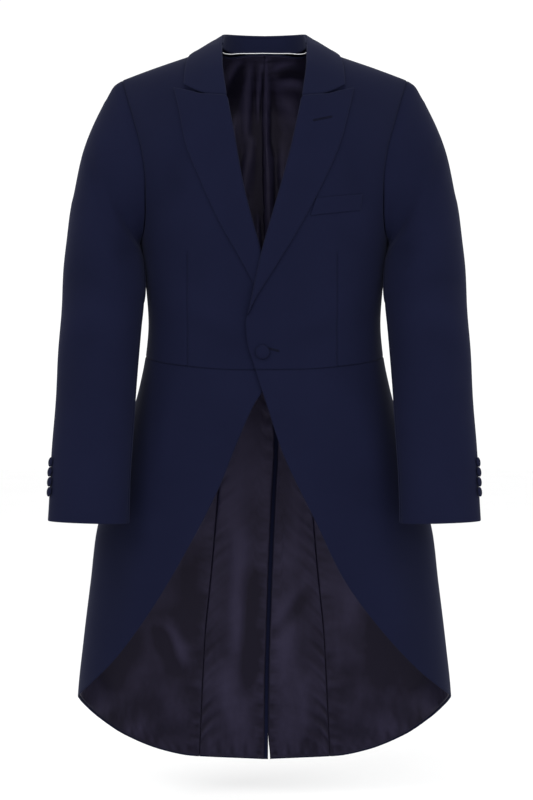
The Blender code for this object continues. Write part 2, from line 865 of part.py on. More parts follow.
def sleeve_ring_point(fall, turn):
    """Point of the sleeve: turn 0 is outermost, 90 front, 180 innermost."""
    outer = Vector((SLEEVE.read("outer_x", fall), 0.0, SLEEVE.read("outer_z", fall)))
    inner = Vector((SLEEVE.read("inner_x", fall), 0.0, SLEEVE.read("inner_z", fall)))
    angle = math.radians(turn)
    centre = (outer + inner) / 2
    centre.y = SLEEVE.read("centre_y", fall)
    width = (outer - inner) / 2 * math.cos(angle)
    depth = Vector((0.0, -SLEEVE.read("half_depth", fall) * math.sin(angle), 0.0))
    return centre + width + depth


def sleeve_point(fall, turn):
    """Sleeve surface, which starts as the armhole and settles to its own rings."""
    ring = sleeve_ring_point(fall, turn)
    turn_down = turn % 360.0
    behind = turn_down > 180.0
    height = ARMHOLE.read("height", turn_down)
    hole = body_point(angle_of(ARMHOLE.read("half_width", turn_down), height, behind), height)
    difference = hole - sleeve_ring_point(0.0, turn)
    return ring + difference * (1.0 - fade(fall, 0.0, SLEEVE_SETTLES_AT))


def sleeve_normal(fall, turn):
    """Outward direction of the sleeve."""
    down_from = max(0.0, fall - SLEEVE_STEP)
    down_to = min(1.0, fall + SLEEVE_STEP)
    down = sleeve_point(down_to, turn) - sleeve_point(down_from, turn)
    around = sleeve_point(fall, turn + 1.0) - sleeve_point(fall, turn - 1.0)
    return around.cross(down).normalized()


def matched_normal(point, normal):
    """Sleeve's normal at the armhole, turned to the body's where they run on."""
    body = form_normal(point)
    share = fade(normal.dot(body), RUNS_ON_FROM, RUNS_ON_AT)
    return normal.lerp(body, share).normalized()


def armhole_stops():
    """Turns round the armhole at which the panels have their points."""
    stops = [SIDE_SEAM_TURN * share**SHOULDER_EASE for share in even(FRONT_ARMHOLE_STEPS)]
    stops += [SIDE_SEAM_TURN + (BACK_SEAM_TURN - SIDE_SEAM_TURN) * share
              for share in even(SIDE_ARMHOLE_STEPS)[1:]]
    stops += [360.0 - (360.0 - BACK_SEAM_TURN) * share**SHOULDER_EASE
              for share in reversed(even(BACK_ARMHOLE_STEPS)[:-1])]
    return stops


def sleeve_turns(under):
    """Turns of the top or under sleeve's columns at the armhole, seam to seam."""
    stops = armhole_stops()
    hindarm = len(stops) - 1 + HINDARM_STOP
    if under:
        return stops[FOREARM_STOP:hindarm + 1]
    return [turn - 360.0 for turn in stops[hindarm:-1]] + stops[:FOREARM_STOP + 1]


def add_sleeve_panel(name, under, collection, hand):
    """Sleeve wall between the forearm seam and the hindarm seam."""
    turns = sleeve_turns(under)
    hindarm = turns[-1] if under else turns[0]
    forearm = turns[0] if under else turns[-1]
    outer = []
    inner = []
    for row in range(SLEEVE_RINGS + 1):
        fall = (row / SLEEVE_RINGS) ** SLEEVE_RING_EASE
        twist = HINDARM_TWIST.read("turn", fall)
        places = [turn + twist * (turn - forearm) / (hindarm - forearm) for turn in turns]
        points = [sleeve_point(fall, turn) for turn in places]
        normals = [sleeve_normal(fall, turn) for turn in places]
        if row == 0:
            points = [point + (sleeve_point(SLEEVE_START, turn) - point).normalized() * SEAM_GAP
                      for point, turn in zip(points, places)]
        for rim, inside in ((0, 1), (-1, -2)):
            step = points[inside] - points[rim]
            points[rim] = points[rim] + step.normalized() * (SEAM_GAP / 2)
        if row == 0:
            normals = [matched_normal(point, normal) for point, normal in zip(points, normals)]
        outer.append(points)
        inner.append([point - normal * CLOTH for point, normal in zip(points, normals)])
    return add_wall(name, outer, inner, "navy_cloth", collection, hand)


def add_button(name, wall, place, outward, diameter, thickness, collection, hand=1):
    """Covered button: a flattened ball sitting just off a built wall."""
    side = Matrix.Diagonal((hand, 1.0, 1.0))
    found, place = wall.closest_point_on_mesh(side @ place)[:2]
    assert found, name
    outward = side @ outward
    shape = bmesh.new()
    bmesh.ops.create_uvsphere(shape, u_segments=BUTTON_SEGMENTS,
                              v_segments=BUTTON_RINGS, radius=0.5)
    seat = place + outward * (thickness / 2 + BUTTON_GAP)
    turn = outward.to_track_quat("Z", "Y").to_matrix().to_4x4()
    size = Matrix.Diagonal((diameter, diameter, thickness, 1.0))
    bmesh.ops.transform(shape, matrix=Matrix.Translation(seat) @ turn @ size,
                        verts=shape.verts)
    mesh = bpy.data.meshes.new(name)
    shape.to_mesh(mesh)
    shape.free()
    return add_object(mesh, name, "button_cloth", collection)


def add_piping(collection):
    """Thin white cord inside the collar, where the stand meets the lining."""
    curve = bpy.data.curves.new("neck_piping", "CURVE")
    curve.dimensions = "3D"
    curve.bevel_depth = PIPING_RADIUS
    curve.bevel_resolution = 2
    curve.use_fill_caps = True
    spline = curve.splines.new("POLY")
    spline.points.add(PIPING_POINTS - 1)
    for step in range(PIPING_POINTS):
        along = PIPING_ENDS_AT * (2.0 * step / (PIPING_POINTS - 1) - 1.0)
        base = collar_line("base", along)
        inward = Vector((-base.x, -base.y, 0.0)).normalized()
        place = base + inward * (STAND_SET_IN + CLOTH + PIPING_RADIUS + PIPING_GAP)
        drop = PIPING_DROP * fade(abs(along), PIPING_DROP_FROM, PIPING_ENDS_AT)
        place.z += PIPING_RISE - drop
        spline.points[step].co = (*place, 1.0)
    cord = bpy.data.objects.new("piping_curve", curve)
    collection.objects.link(cord)
    evaluated = cord.evaluated_get(bpy.context.evaluated_depsgraph_get())
    mesh = bpy.data.meshes.new_from_object(evaluated)
    shape = bmesh.new()
    shape.from_mesh(mesh)
    bmesh.ops.remove_doubles(shape, verts=shape.verts, dist=0.00001)
    bmesh.ops.recalc_face_normals(shape, faces=shape.faces)
    shape.to_mesh(mesh)
    shape.free()
    bpy.data.objects.remove(cord)
    mesh.materials.clear()
    return add_object(mesh, "neck_piping", "piping", collection)


def away_from_vent(grid, margin_at):
    """Panel whose edge at the centre back is drawn away by a margin for each height."""
    drawn = []
    for row in grid:
        angle, height = row[0]
        edge = body_point(angle, height).x + margin_at(height)
        change = angle_of(edge, height, behind=True) - angle
        last = len(row) - 1
        drawn.append([(pair[0] + change * (1 - index / last), pair[1])
                      for index, pair in enumerate(row)])
    return drawn


def vent_opening(height):
    """Width by which the vent falls open near the hem."""
    return VENT_OPENING * fade(-height, -VENT_OPEN_FROM, -HEM.read("height", 180.0))


def vent_facing(height):
    """Width of coat cloth that shows beside the vent, inside the lining."""
    return VENT_FACING * fade(-height, -VENT_TOP - VENT_FACING_FADE,
                              -VENT_TOP + VENT_FACING_FADE)


def build_side(side, collection):
    """All pieces of one half of the coat; gives back its front."""
    hand = 1 if side == "left" else -1
    lapped = side == "left"
    front = add_panel(f"front_{side}", front_grid(side), 0.0, CLOTH, "navy_cloth",
                      collection, hand, lapped)
    add_panel(f"sidebody_{side}", sidebody_grid(), 0.0, CLOTH, "navy_cloth", collection, hand)
    add_panel(f"skirt_{side}", skirt_grid(side), 0.0, CLOTH, "navy_cloth", collection,
              hand, lapped)
    back = back_grid(side)
    back_lining = back_grid(side, inset=LINING_INSET, hem_margin=HEM_MARGIN)
    if side == "left":
        back = away_from_vent(back, vent_opening)
        back_lining = away_from_vent(back_lining, vent_opening)
    else:
        back_lining = away_from_vent(back_lining, vent_facing)
    add_panel(f"back_{side}", back, 0.0, CLOTH, "navy_cloth", collection, hand)
    add_panel(f"lapel_{side}", lapel_grid(side), LAY_GAP + LAPEL_CLOTH, LAPEL_CLOTH,
              "navy_cloth", collection, hand, lapped)

    lining_lift = -(CLOTH + LINING_GAP)
    add_panel(f"lining_back_{side}", back_lining, lining_lift, LINING_CLOTH,
              "lining", collection, hand)
    skirt_lining = skirt_grid(side, inset=LINING_INSET, hem_margin=HEM_MARGIN)
    add_panel(f"lining_skirt_{side}", skirt_lining, lining_lift, LINING_CLOTH,
              "lining", collection, hand, lapped)

    top_sleeve = add_sleeve_panel(f"sleeve_top_{side}", False, collection, hand)
    add_sleeve_panel(f"sleeve_under_{side}", True, collection, hand)

    cuff_run = sleeve_point(1.0, 0.0) - sleeve_point(1.0 - CUFF_SPAN, 0.0)
    for number in range(CUFF_BUTTON_COUNT):
        distance = CUFF_BUTTON_FROM_HEM + CUFF_BUTTON_PITCH * number
        fall = 1.0 - CUFF_SPAN * distance / cuff_run.length
        add_button(f"cuff_button_{side}_{number + 1}", top_sleeve,
                   sleeve_point(fall, CUFF_BUTTON_TURN), sleeve_normal(fall, CUFF_BUTTON_TURN),
                   CUFF_BUTTON_DIAMETER, CUFF_BUTTON_THICKNESS, collection, hand)
    return front


def build_collar(collection):
    leaf = collar_fall_points()
    add_wall("collar_fall", leaf, offset_grid(leaf, CLOTH), "collar_cloth", collection)
    stand = collar_stand_points()
    add_wall("collar_stand", stand, offset_grid(stand, CLOTH), "collar_cloth", collection)
    add_piping(collection)


def build_front_details(front, collection):
    add_panel("breast_welt", welt_grid(), LAY_GAP + WELT_CLOTH, WELT_CLOTH, "navy_cloth",
              collection, lapped=True)
    angle = angle_of(*FRONT_BUTTON_AT)
    place = on_form(angle, FRONT_BUTTON_AT[1], 0.0, lapped=True)
    outward = form_normal(place)
    add_button("front_button", front, place, outward, FRONT_BUTTON_DIAMETER,
               FRONT_BUTTON_THICKNESS, collection)


def main():
    for old in list(bpy.data.objects):
        bpy.data.objects.remove(old, do_unlink=True)
    coat = bpy.data.collections.new("morning_coat")
    bpy.context.scene.collection.children.link(coat)
    build_side("right", coat)
    front = build_side("left", coat)
    build_collar(coat)
    build_front_details(front, coat)


main()
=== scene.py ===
"""Single-button peak-lapel morning coat, worn shape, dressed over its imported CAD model.

Metres, +Z up, the front faces -Y and +X is the wearer's left.
"""

import logging
import math
from dataclasses import dataclass, field
from enum import Enum
from typing import Callable, Sequence

import bmesh
import bpy
import numpy as np
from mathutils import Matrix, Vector


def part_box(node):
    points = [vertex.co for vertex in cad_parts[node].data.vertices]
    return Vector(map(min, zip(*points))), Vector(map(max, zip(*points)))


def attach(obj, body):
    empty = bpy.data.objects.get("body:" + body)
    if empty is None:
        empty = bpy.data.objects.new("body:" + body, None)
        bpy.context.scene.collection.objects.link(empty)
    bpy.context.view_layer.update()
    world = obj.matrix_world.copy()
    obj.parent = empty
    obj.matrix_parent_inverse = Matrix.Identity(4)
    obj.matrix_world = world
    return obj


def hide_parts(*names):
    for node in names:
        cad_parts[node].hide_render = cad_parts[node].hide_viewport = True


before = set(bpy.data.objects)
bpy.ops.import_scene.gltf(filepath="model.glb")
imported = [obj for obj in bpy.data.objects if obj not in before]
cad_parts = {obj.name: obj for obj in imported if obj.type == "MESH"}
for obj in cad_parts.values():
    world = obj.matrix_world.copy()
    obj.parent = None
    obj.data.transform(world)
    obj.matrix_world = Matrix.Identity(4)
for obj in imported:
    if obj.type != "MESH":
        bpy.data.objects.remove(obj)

MM = 0.001
UV_NAME = "UVMap"
SEWN = "sewn"
RELIEF = "relief"
SHADE = "shade"
RELIEF_RANGE = 3.0 * MM

Array = np.ndarray
Line = Callable[[Array], Array]
Span = tuple[float, float]
Tone = tuple[float, float, float]
Object = bpy.types.Object
Material = bpy.types.Material
Socket = bpy.types.NodeSocket
log = logging.getLogger("morning_coat")


class Hand(Enum):
    """Side of the coat, as the wearer has it."""

    LEFT = 1
    RIGHT = -1

    @property
    def word(self) -> str:
        """The side's word in node names."""
        return self.name.lower()


class Rim(Enum):
    """How an edge of a panel is finished."""

    SEAM = "sewn to its neighbour"
    FREE = "turned in and pressed"
    HIDDEN = "lies under another piece"


class Slot(Enum):
    """Material slots of the record."""

    CLOTH = "navy_cloth"
    COLLAR = "collar_cloth"
    LINING = "lining"
    PIPING = "piping"
    BUTTON = "button_cloth"


def by_hand(left: object, right: object) -> dict[Hand, object]:
    """Field of a class with one value for each side of the coat."""
    return field(default_factory=lambda: {Hand.LEFT: left, Hand.RIGHT: right})


@dataclass(frozen=True)
class Table:
    """Rows of named columns, read between the rows along a smooth curve."""

    columns: str
    rows: tuple[tuple[float, ...], ...]

    def read(self, column: str, key: Array | float) -> Array:
        """Values of one column.

        Args:
            column: Name of the column.
            key: Keys in the first column's units.

        Returns:
            The column's values, with no overshoot between rows.
        """
        rows = np.array(self.rows, dtype=float)
        keys = rows[:, 0]
        values = rows[:, self.columns.split().index(column)]
        slopes = np.diff(values) / np.diff(keys)
        tangents = np.empty(len(keys))
        tangents[0], tangents[-1] = slopes[0], slopes[-1]
        product = slopes[:-1] * slopes[1:]
        total = np.where(product > 0, slopes[:-1] + slopes[1:], 1.0)
        tangents[1:-1] = np.where(product > 0, 2 * product / total, 0.0)
        place = np.clip(np.asarray(key, dtype=float), keys[0], keys[-1])
        step = np.clip(np.searchsorted(keys, place) - 1, 0, len(keys) - 2)
        span = keys[step + 1] - keys[step]
        t = (place - keys[step]) / span
        return ((2 * t**3 - 3 * t**2 + 1) * values[step]
                + (t**3 - 2 * t**2 + t) * span * tangents[step]
                + (-2 * t**3 + 3 * t**2) * values[step + 1]
                + (t**3 - t**2) * span * tangents[step + 1])


EDGE = "fall from_middle height"
BODY = Table("height half_width front_depth back_depth", (
    (-1.04, 0.2745, 0.137, 0.148), (-0.913, 0.2678, 0.135, 0.142),
    (-0.84, 0.2599, 0.132, 0.137), (-0.754, 0.2498, 0.129, 0.132),
    (-0.69, 0.2426, 0.127, 0.128), (-0.6, 0.218, 0.123, 0.12),
    (-0.52, 0.1925, 0.117, 0.108), (-0.473, 0.1793, 0.113, 0.1),
    (-0.43, 0.1706, 0.11, 0.093), (-0.387, 0.1672, 0.111, 0.093),
    (-0.345, 0.17, 0.115, 0.097), (-0.3, 0.1745, 0.12, 0.104),
    (-0.25, 0.181, 0.124, 0.112), (-0.19, 0.1945, 0.126, 0.118),
    (-0.12, 0.207, 0.124, 0.115), (-0.04, 0.22, 0.12, 0.108),
    (0.04, 0.222, 0.118, 0.105),
))
WAIST_SEAM = Table("angle height", (
    (-15.0, -0.454), (10.0, -0.453), (45.0, -0.445), (86.0, -0.433), (125.0, -0.428),
    (180.0, -0.43),
))
ARMHOLE_FRONT = (
    (0.0, 0.205, -0.0352), (25.0, 0.196, -0.064), (50.0, 0.184, -0.103),
    (75.0, 0.172, -0.148), (100.0, 0.1672, -0.19), (125.0, 0.1675, -0.227),
    (150.0, 0.1705, -0.256), (180.0, 0.1783, -0.27),
)
ARMHOLE = Table("turn half_width height", ARMHOLE_FRONT + tuple(
    (360.0 - turn, *place) for turn, *place in ARMHOLE_FRONT[-2::-1]))
# Roll line, closing edge and top of the cutaway, from the neck down
FRONT_EDGE = {
    Hand.LEFT: Table(EDGE, (
        (0.0, 0.07, 0.0112), (0.03, 0.0625, -0.007), (0.06, 0.0598, -0.0274),
        (0.16, 0.0509, -0.0792), (0.27, 0.0409, -0.129), (0.38, 0.029, -0.1774),
        (0.51, 0.0125, -0.2345), (0.65, -0.0039, -0.2927), (0.74, -0.0131, -0.3326),
        (0.81, -0.02, -0.3656), (0.86, -0.0258, -0.389), (0.91, -0.024, -0.4124),
        (1.0, -0.0125, -0.4537),
    )),
    Hand.RIGHT: Table(EDGE, (
        (0.0, 0.07, 0.0112), (0.03, 0.061, -0.007), (0.06, 0.058, -0.0274),
        (0.16, 0.0513, -0.075), (0.27, 0.0416, -0.129), (0.42, 0.0297, -0.1963),
        (0.53, 0.0179, -0.2437), (0.65, 0.0048, -0.2906), (0.74, -0.004, -0.33),
        (0.81, -0.01, -0.365), (0.86, -0.013, -0.389), (0.92, -0.0105, -0.42),
        (1.0, -0.0045, -0.4537),
    )),
}
# Lower front edge, from the waist seam to the side
CUTAWAY = {
    Hand.LEFT: Table(EDGE, (
        (0.0, -0.0125, -0.4537), (0.05, -0.0048, -0.4778), (0.11, 0.0055, -0.5088),
        (0.22, 0.0241, -0.5653), (0.42, 0.071, -0.6631), (0.58, 0.1091, -0.7411),
        (0.74, 0.157, -0.8076), (0.88, 0.212, -0.868), (1.0, 0.264, -0.9135),
    )),
    Hand.RIGHT: Table(EDGE, (
        (0.0, -0.0045, -0.4537), (0.06, 0.0034, -0.484), (0.1, 0.0131, -0.499),
        (0.2, 0.0344, -0.546), (0.36, 0.0628, -0.6164), (0.54, 0.1035, -0.6958),
        (0.72, 0.1556, -0.7838), (0.86, 0.205, -0.8513), (1.0, 0.262, -0.911),
    )),
}
HEM = Table("angle height", (
    (78.0, -0.912), (90.0, -0.924), (103.0, -0.9405), (118.0, -0.9665), (133.0, -0.996),
    (150.0, -1.0235), (160.0, -1.0335), (180.0, -1.04),
))
BACK_SEAM = Table("fall angle height", (
    (0.0, 124.04, -0.1771), (0.25, 137.5, -0.245), (0.5, 149.5, -0.31),
    (0.75, 158.8, -0.372), (1.0, 164.5, -0.429),
))
TAIL_SEAM = Table(EDGE, (
    (0.0, 0.0553, -0.429), (0.32, 0.069, -0.62), (0.54, 0.08, -0.75),
    (0.7, 0.09, -0.85), (1.0, 0.099, -1.0335),
))
# The coat hangs a little off the middle behind
CENTRE_BACK = Table("height shift", (
    (-1.04, 0.0052), (-0.92, 0.006), (-0.84, 0.0082), (-0.74, 0.0118), (-0.65, 0.016),
    (-0.56, 0.02), (-0.455, 0.015), (-0.2, 0.0), (0.02, 0.0),
))
NECKLINE = Table("from_middle height", (
    (0.0, 0.014), (0.02, 0.0125), (0.035, 0.01), (0.05, 0.0075), (0.06, 0.0075),
    (0.07, 0.0112),
))
# Outer edge of each lapel, from the peak down to the roll line's lower end
LAPEL_EDGE = {
    Hand.LEFT: Table(EDGE, (
        (0.0, 0.1246, -0.0597), (0.13, 0.1145, -0.1023), (0.24, 0.1049, -0.1379),
        (0.47, 0.0761, -0.2044), (0.66, 0.0476, -0.2577), (0.85, 0.0103, -0.3186),
        (0.97, -0.015, -0.36), (1.0, -0.019, -0.37),
    )),
    Hand.RIGHT: Table(EDGE, (
        (0.0, 0.1264, -0.0593), (0.11, 0.1177, -0.094), (0.25, 0.1091, -0.1379),
        (0.42, 0.0886, -0.1906), (0.62, 0.0628, -0.2478), (0.79, 0.0365, -0.295),
        (0.92, 0.0158, -0.3326), (1.0, 0.001, -0.36),
    )),
}
GORGE = Table("across height", (
    (0.0, -0.078), (0.24, -0.0752), (0.39, -0.0732), (0.52, -0.0706), (0.71, -0.0657),
    (0.85, -0.0627), (1.0, -0.0597),
))
# Collar from the centre back to its front end: crease at the top, outer edge
# of the leaf (side -1 lies on the front, +1 on the back), and base of the stand
COLLAR = Table("along crease_x crease_y crease_z edge_x edge_z side base_x base_y base_z", (
    (0.0, 0.0, 0.074, 0.044, 0.0, -0.016, 1.0, 0.0, 0.069, 0.015),
    (0.18, 0.03, 0.069, 0.0438, 0.042, -0.014, 1.0, 0.03, 0.062, 0.0135),
    (0.34, 0.05, 0.052, 0.0418, 0.076, -0.008, 1.0, 0.05, 0.043, 0.012),
    (0.48, 0.0585, 0.027, 0.037, 0.096, -0.001, 1.0, 0.061, 0.019, 0.013),
    (0.6, 0.06, -0.002, 0.0276, 0.106, -0.006, -1.0, 0.0645, -0.006, 0.013),
    (0.74, 0.0602, -0.036, 0.0128, 0.11, -0.022, -1.0, 0.064, -0.033, 0.005),
    (0.88, 0.059, -0.079, -0.021, 0.1116, -0.041, -1.0, 0.06, -0.06, -0.012),
    (1.0, 0.0515, -0.1128, -0.0752, 0.112, -0.0556, -1.0, 0.056, -0.09, -0.05),
))
# Sleeve sections from the armhole down: outer and inner ends of the width
SLEEVE = Table("fall outer_x outer_z inner_x inner_z centre_y half_depth", (
    (0.0, 0.205, -0.0352, 0.1783, -0.27, 0.0, 0.076),
    (0.04, 0.219, -0.0475, 0.179, -0.2735, -0.001, 0.075),
    (0.09, 0.233, -0.074, 0.179, -0.2775, -0.004, 0.074),
    (0.16, 0.249, -0.11, 0.178, -0.2825, -0.01, 0.072),
    (0.24, 0.262, -0.15, 0.176, -0.29, -0.018, 0.069),
    (0.33, 0.271, -0.196, 0.1735, -0.302, -0.027, 0.066),
    (0.42, 0.278, -0.245, 0.1718, -0.322, -0.035, 0.063),
    (0.52, 0.284, -0.303, 0.171, -0.355, -0.043, 0.059),
    (0.62, 0.287, -0.366, 0.1735, -0.398, -0.052, 0.055),
    (0.72, 0.29, -0.435, 0.1775, -0.45, -0.064, 0.05),
    (0.82, 0.2925, -0.51, 0.181, -0.515, -0.084, 0.045),
    (0.91, 0.2955, -0.585, 0.184, -0.588, -0.107, 0.04),
    (1.0, 0.2972, -0.6605, 0.185, -0.664, -0.128, 0.036),
))
HINDARM_TWIST = Table("fall turn", (
    (0.0, 0.0), (0.5, 22.0), (1.0, 62.0),
))


def fade(value: Array | float, start: float, end: float) -> Array:
    """0 before start, 1 after end, smooth between."""
    share = np.clip((np.asarray(value, dtype=float) - start) / (end - start), 0.0, 1.0)
    return share * share * (3.0 - 2.0 * share)


def unit(vectors: Array) -> Array:
    """The vectors at length 1."""
    return vectors / np.maximum(np.linalg.norm(vectors, axis=-1, keepdims=True), 1e-12)


@dataclass(frozen=True)
class BodyForm:
    """Smooth worn form that all the body panels lie on."""

    power: float = 2.35
    shoulder_peak: float = 0.0365
    shoulder_slope: float = 0.348
    shoulder_blend: float = 0.020
    front_roll: float = 0.150
    back_roll: float = 0.100
    overlap: float = 4.9 * MM
    overlap_across: Span = (0.016, 0.075)
    overlap_top: Span = (-0.260, -0.160)
    overlap_bottom: Span = (-0.620, -0.480)
    normal_step: float = 0.5 * MM

    def shoulder_height(self, from_middle: Array | float) -> Array:
        """Height of the shoulder line, rounded over at the middle."""
        return self.shoulder_peak - self.shoulder_slope * np.hypot(from_middle,
                                                                   self.shoulder_blend)

    def reach(self, from_middle: Array, height: Array, behind: Array) -> Array:
        """Depth of the form at its middle, less where the shoulders round it."""
        roll = np.where(behind, self.back_roll, self.front_roll)
        drop = np.clip((self.shoulder_height(from_middle) - height) / roll, 0.0, 1.0)
        depth = np.where(behind, BODY.read("back_depth", height),
                         BODY.read("front_depth", height))
        return depth * np.sqrt(1.0 - (1.0 - drop) ** 2)

    def point(self, angle: Array, height: Array) -> Array:
        """Points of the form.

        Args:
            angle: Degrees from the centre front.
            height: Heights.

        Returns:
            Points, with the three coordinates last.
        """
        turn = np.radians(np.asarray(angle, dtype=float))
        height = np.asarray(height, dtype=float)
        shape = 2.0 / self.power
        sine, cosine = np.sin(turn), np.cos(turn)
        across = BODY.read("half_width", height) * np.sign(sine) * np.abs(sine) ** shape
        behind = cosine < 0.0
        depth = self.reach(across, height, behind) * np.abs(cosine) ** shape
        return np.stack((across, np.where(behind, depth, -depth), height), axis=-1)

    def angle_of(self, from_middle: Array | float, height: Array | float,
                 behind: bool = False) -> Array:
        """Angles of the points this far from the middle at a height.

        Args:
            from_middle: Distances from the middle plane.
            height: Heights.
            behind: Whether the points are on the back.

        Returns:
            Degrees from the centre front.
        """
        share = np.minimum(1.0, np.abs(from_middle) / BODY.read("half_width", height))
        angle = np.degrees(np.arcsin(share ** (self.power / 2.0))) * np.sign(from_middle)
        return 180.0 - angle if behind else angle

    def _value(self, points: Array) -> Array:
        """Value that is 0 on the form, below 0 inside and above 0 outside."""
        x, y, z = points[..., 0], points[..., 1], points[..., 2]
        width = (np.abs(x) / BODY.read("half_width", z)) ** self.power
        return np.abs(y) ** self.power - self.reach(x, z, y > 0.0) ** self.power * (1.0 - width)

    def normal(self, points: Array) -> Array:
        """Outward directions of the form at points on or near it."""
        slopes = []
        for axis in range(3):
            step = np.zeros(3)
            step[axis] = self.normal_step
            slopes.append(self._value(points + step) - self._value(points - step))
        return unit(np.stack(slopes, axis=-1))

    def lap(self, from_middle: Array, height: Array) -> Array:
        """Height of the wearer's left front over the form where it laps."""
        near = 1.0 - fade(from_middle, *self.overlap_across)
        below = 1.0 - fade(height, *self.overlap_top)
        above = fade(height, *self.overlap_bottom)
        return self.overlap * near * below * above


FORM = BodyForm()


# Lines on the form: each takes shares from 0 to 1 and gives angles and heights


def pair(angle: Array, height: Array) -> Array:
    """Angles and heights side by side."""
    angle, height = np.broadcast_arrays(np.asarray(angle, float), np.asarray(height, float))
    return np.stack((angle, height), axis=-1)


def edge_line(table: Table, start: float = 0.0, end: float = 1.0, behind: bool = False) -> Line:
    """Line through a table of distances from the middle.

    Args:
        table: The line's table.
        start: Share of the table where the line starts.
        end: Share where it ends.
        behind: Whether it lies on the back.

    Returns:
        The line.
    """
    def line(share: Array) -> Array:
        fall = start + (end - start) * share
        height = table.read("height", fall)
        return pair(FORM.angle_of(table.read("from_middle", fall), height, behind), height)
    return line


def angle_line(table: Table) -> Line:
    """Line through a table of angles by share."""
    return lambda share: pair(table.read("angle", share), table.read("height", share))


def level_line(table: Table, start: float, end: float, rise: float = 0.0) -> Line:
    """Line through a table of heights by angle, raised by a little."""
    def line(share: Array) -> Array:
        angle = start + (end - start) * share
        return pair(angle, table.read("height", angle) + rise)
    return line


def armhole_line(start: float, end: float, ease: float = 1.0) -> Line:
    """Part of the armhole, from one turn to another."""
    def line(share: Array) -> Array:
        turn = start + (end - start) * share**ease
        height = ARMHOLE.read("height", turn)
        half_width = ARMHOLE.read("half_width", turn)
        front = FORM.angle_of(half_width, height)
        return pair(np.where(turn > 180.0, 180.0 - front, front), height)
    return line


def shoulder_line(start: float, end: float, behind: bool) -> Line:
    """Shoulder seam between two distances from the middle."""
    def line(share: Array) -> Array:
        from_middle = start + (end - start) * share
        height = FORM.shoulder_height(from_middle)
        return pair(FORM.angle_of(from_middle, height, behind), height)
    return line


def straight_line(start: Array, end: Array) -> Line:
    """Straight run between two pairs of angle and height."""
    first, last = np.array(start, float), np.array(end, float)
    return lambda share: first + (last - first) * np.asarray(share)[..., None]


def chain(*runs: tuple[float, Line]) -> Line:
    """One line from several, each with the share at which it ends."""
    def line(share: Array) -> Array:
        share = np.atleast_1d(np.asarray(share, dtype=float))
        made = np.empty(share.shape + (2,))
        start = 0.0
        for number, (end, run) in enumerate(runs):
            low = share >= start - 1e-9 if number == 0 else share > start + 1e-9
            mine = low & (share <= end + 1e-9)
            made[mine] = run((share[mine] - start) / (end - start))
            start = end
        return made
    return line


def graded(length: float, count: int, near: Sequence[float] = (0.7, 1.5, 2.6, 4.2),
           ends: tuple[bool, bool] = (True, True), marks: Sequence[float] = ()) -> Array:
    """Shares along a panel, close together at its edges.

    Args:
        length: Length of the run.
        count: Even steps over the whole.
        near: Distances from an edge in millimetres that get a row too.
        ends: Which of the two edges get close rows.
        marks: Shares inside the panel with close rows on both sides.

    Returns:
        Sorted shares from 0 to 1.
    """
    even = np.linspace(0.0, 1.0, count + 1)
    close = np.array(near) * MM / length
    fixed = [np.array((0.0, 1.0))]
    if ends[0]:
        fixed.append(close)
    if ends[1]:
        fixed.append(1.0 - close)
    for mark in marks:
        fixed.append(np.concatenate((mark - close, (mark,), mark + close)))
    fixed = np.unique(np.concatenate(fixed))
    apart = np.abs(even[:, None] - fixed[None, :]).min(axis=1)
    return np.sort(np.concatenate((fixed, even[apart > 0.45 / count])))


@dataclass
class Patch:
    """Four-sided panel on the form between four lines."""

    top: Line
    bottom: Line
    left: Line
    right: Line
    columns: Array
    rows: Array

    def grid(self) -> Array:
        """Angles and heights of the panel's points."""
        across = self.columns[None, :, None]
        down = self.rows[:, None, None]
        one, zero = np.ones(1), np.zeros(1)
        top, bottom = self.top(self.columns), self.bottom(self.columns)
        left, right = self.left(self.rows), self.right(self.rows)
        corners = ((1 - across) * (1 - down) * self.left(zero)
                   + across * (1 - down) * self.right(zero)
                   + (1 - across) * down * self.left(one) + across * down * self.right(one))
        made = ((1 - down) * top[None] + down * bottom[None]
                + (1 - across) * left[:, None] + across * right[:, None] - corners)
        made[0], made[-1] = top, bottom
        made[:, 0], made[:, -1] = left, right
        return made


@dataclass(frozen=True)
class Crease:
    """Soft trough (depth below 0) or ridge in the cloth, in the panel's own chart."""

    start: Span
    end: Span
    width: float
    depth: float
    bow: float = 0.0
    ease: float = 0.7

    def height(self, chart: Array) -> Array:
        """How far each chart point is moved out."""
        start, end = np.array(self.start), np.array(self.end)
        run = end - start
        length = float(np.linalg.norm(run))
        along = ((chart - start) @ run) / length**2
        side = np.array((-run[1], run[0])) / length
        middle = np.clip(along, 0.0, 1.0)
        off = (chart - start) @ side - self.bow * 4.0 * middle * (1.0 - middle)
        taper = np.sin(np.pi * middle) ** self.ease
        return self.depth * np.exp(-((off / self.width) ** 2)) * np.where(
            (along > 0.0) & (along < 1.0), taper, 0.0)


def folds(*rows: tuple[float, ...]) -> tuple[Crease, ...]:
    """Creases from rows of start, end, width, depth in millimetres, bow and ease."""
    return tuple(Crease(row[:2], row[2:4], row[4], row[5] * MM, *row[6:]) for row in rows)


def creased(chart: Array, creases: Sequence[Crease]) -> Array:
    """Total height of a set of creases over a chart."""
    total = np.zeros(chart.shape[:-1])
    for crease in creases:
        total += crease.height(chart)
    return total


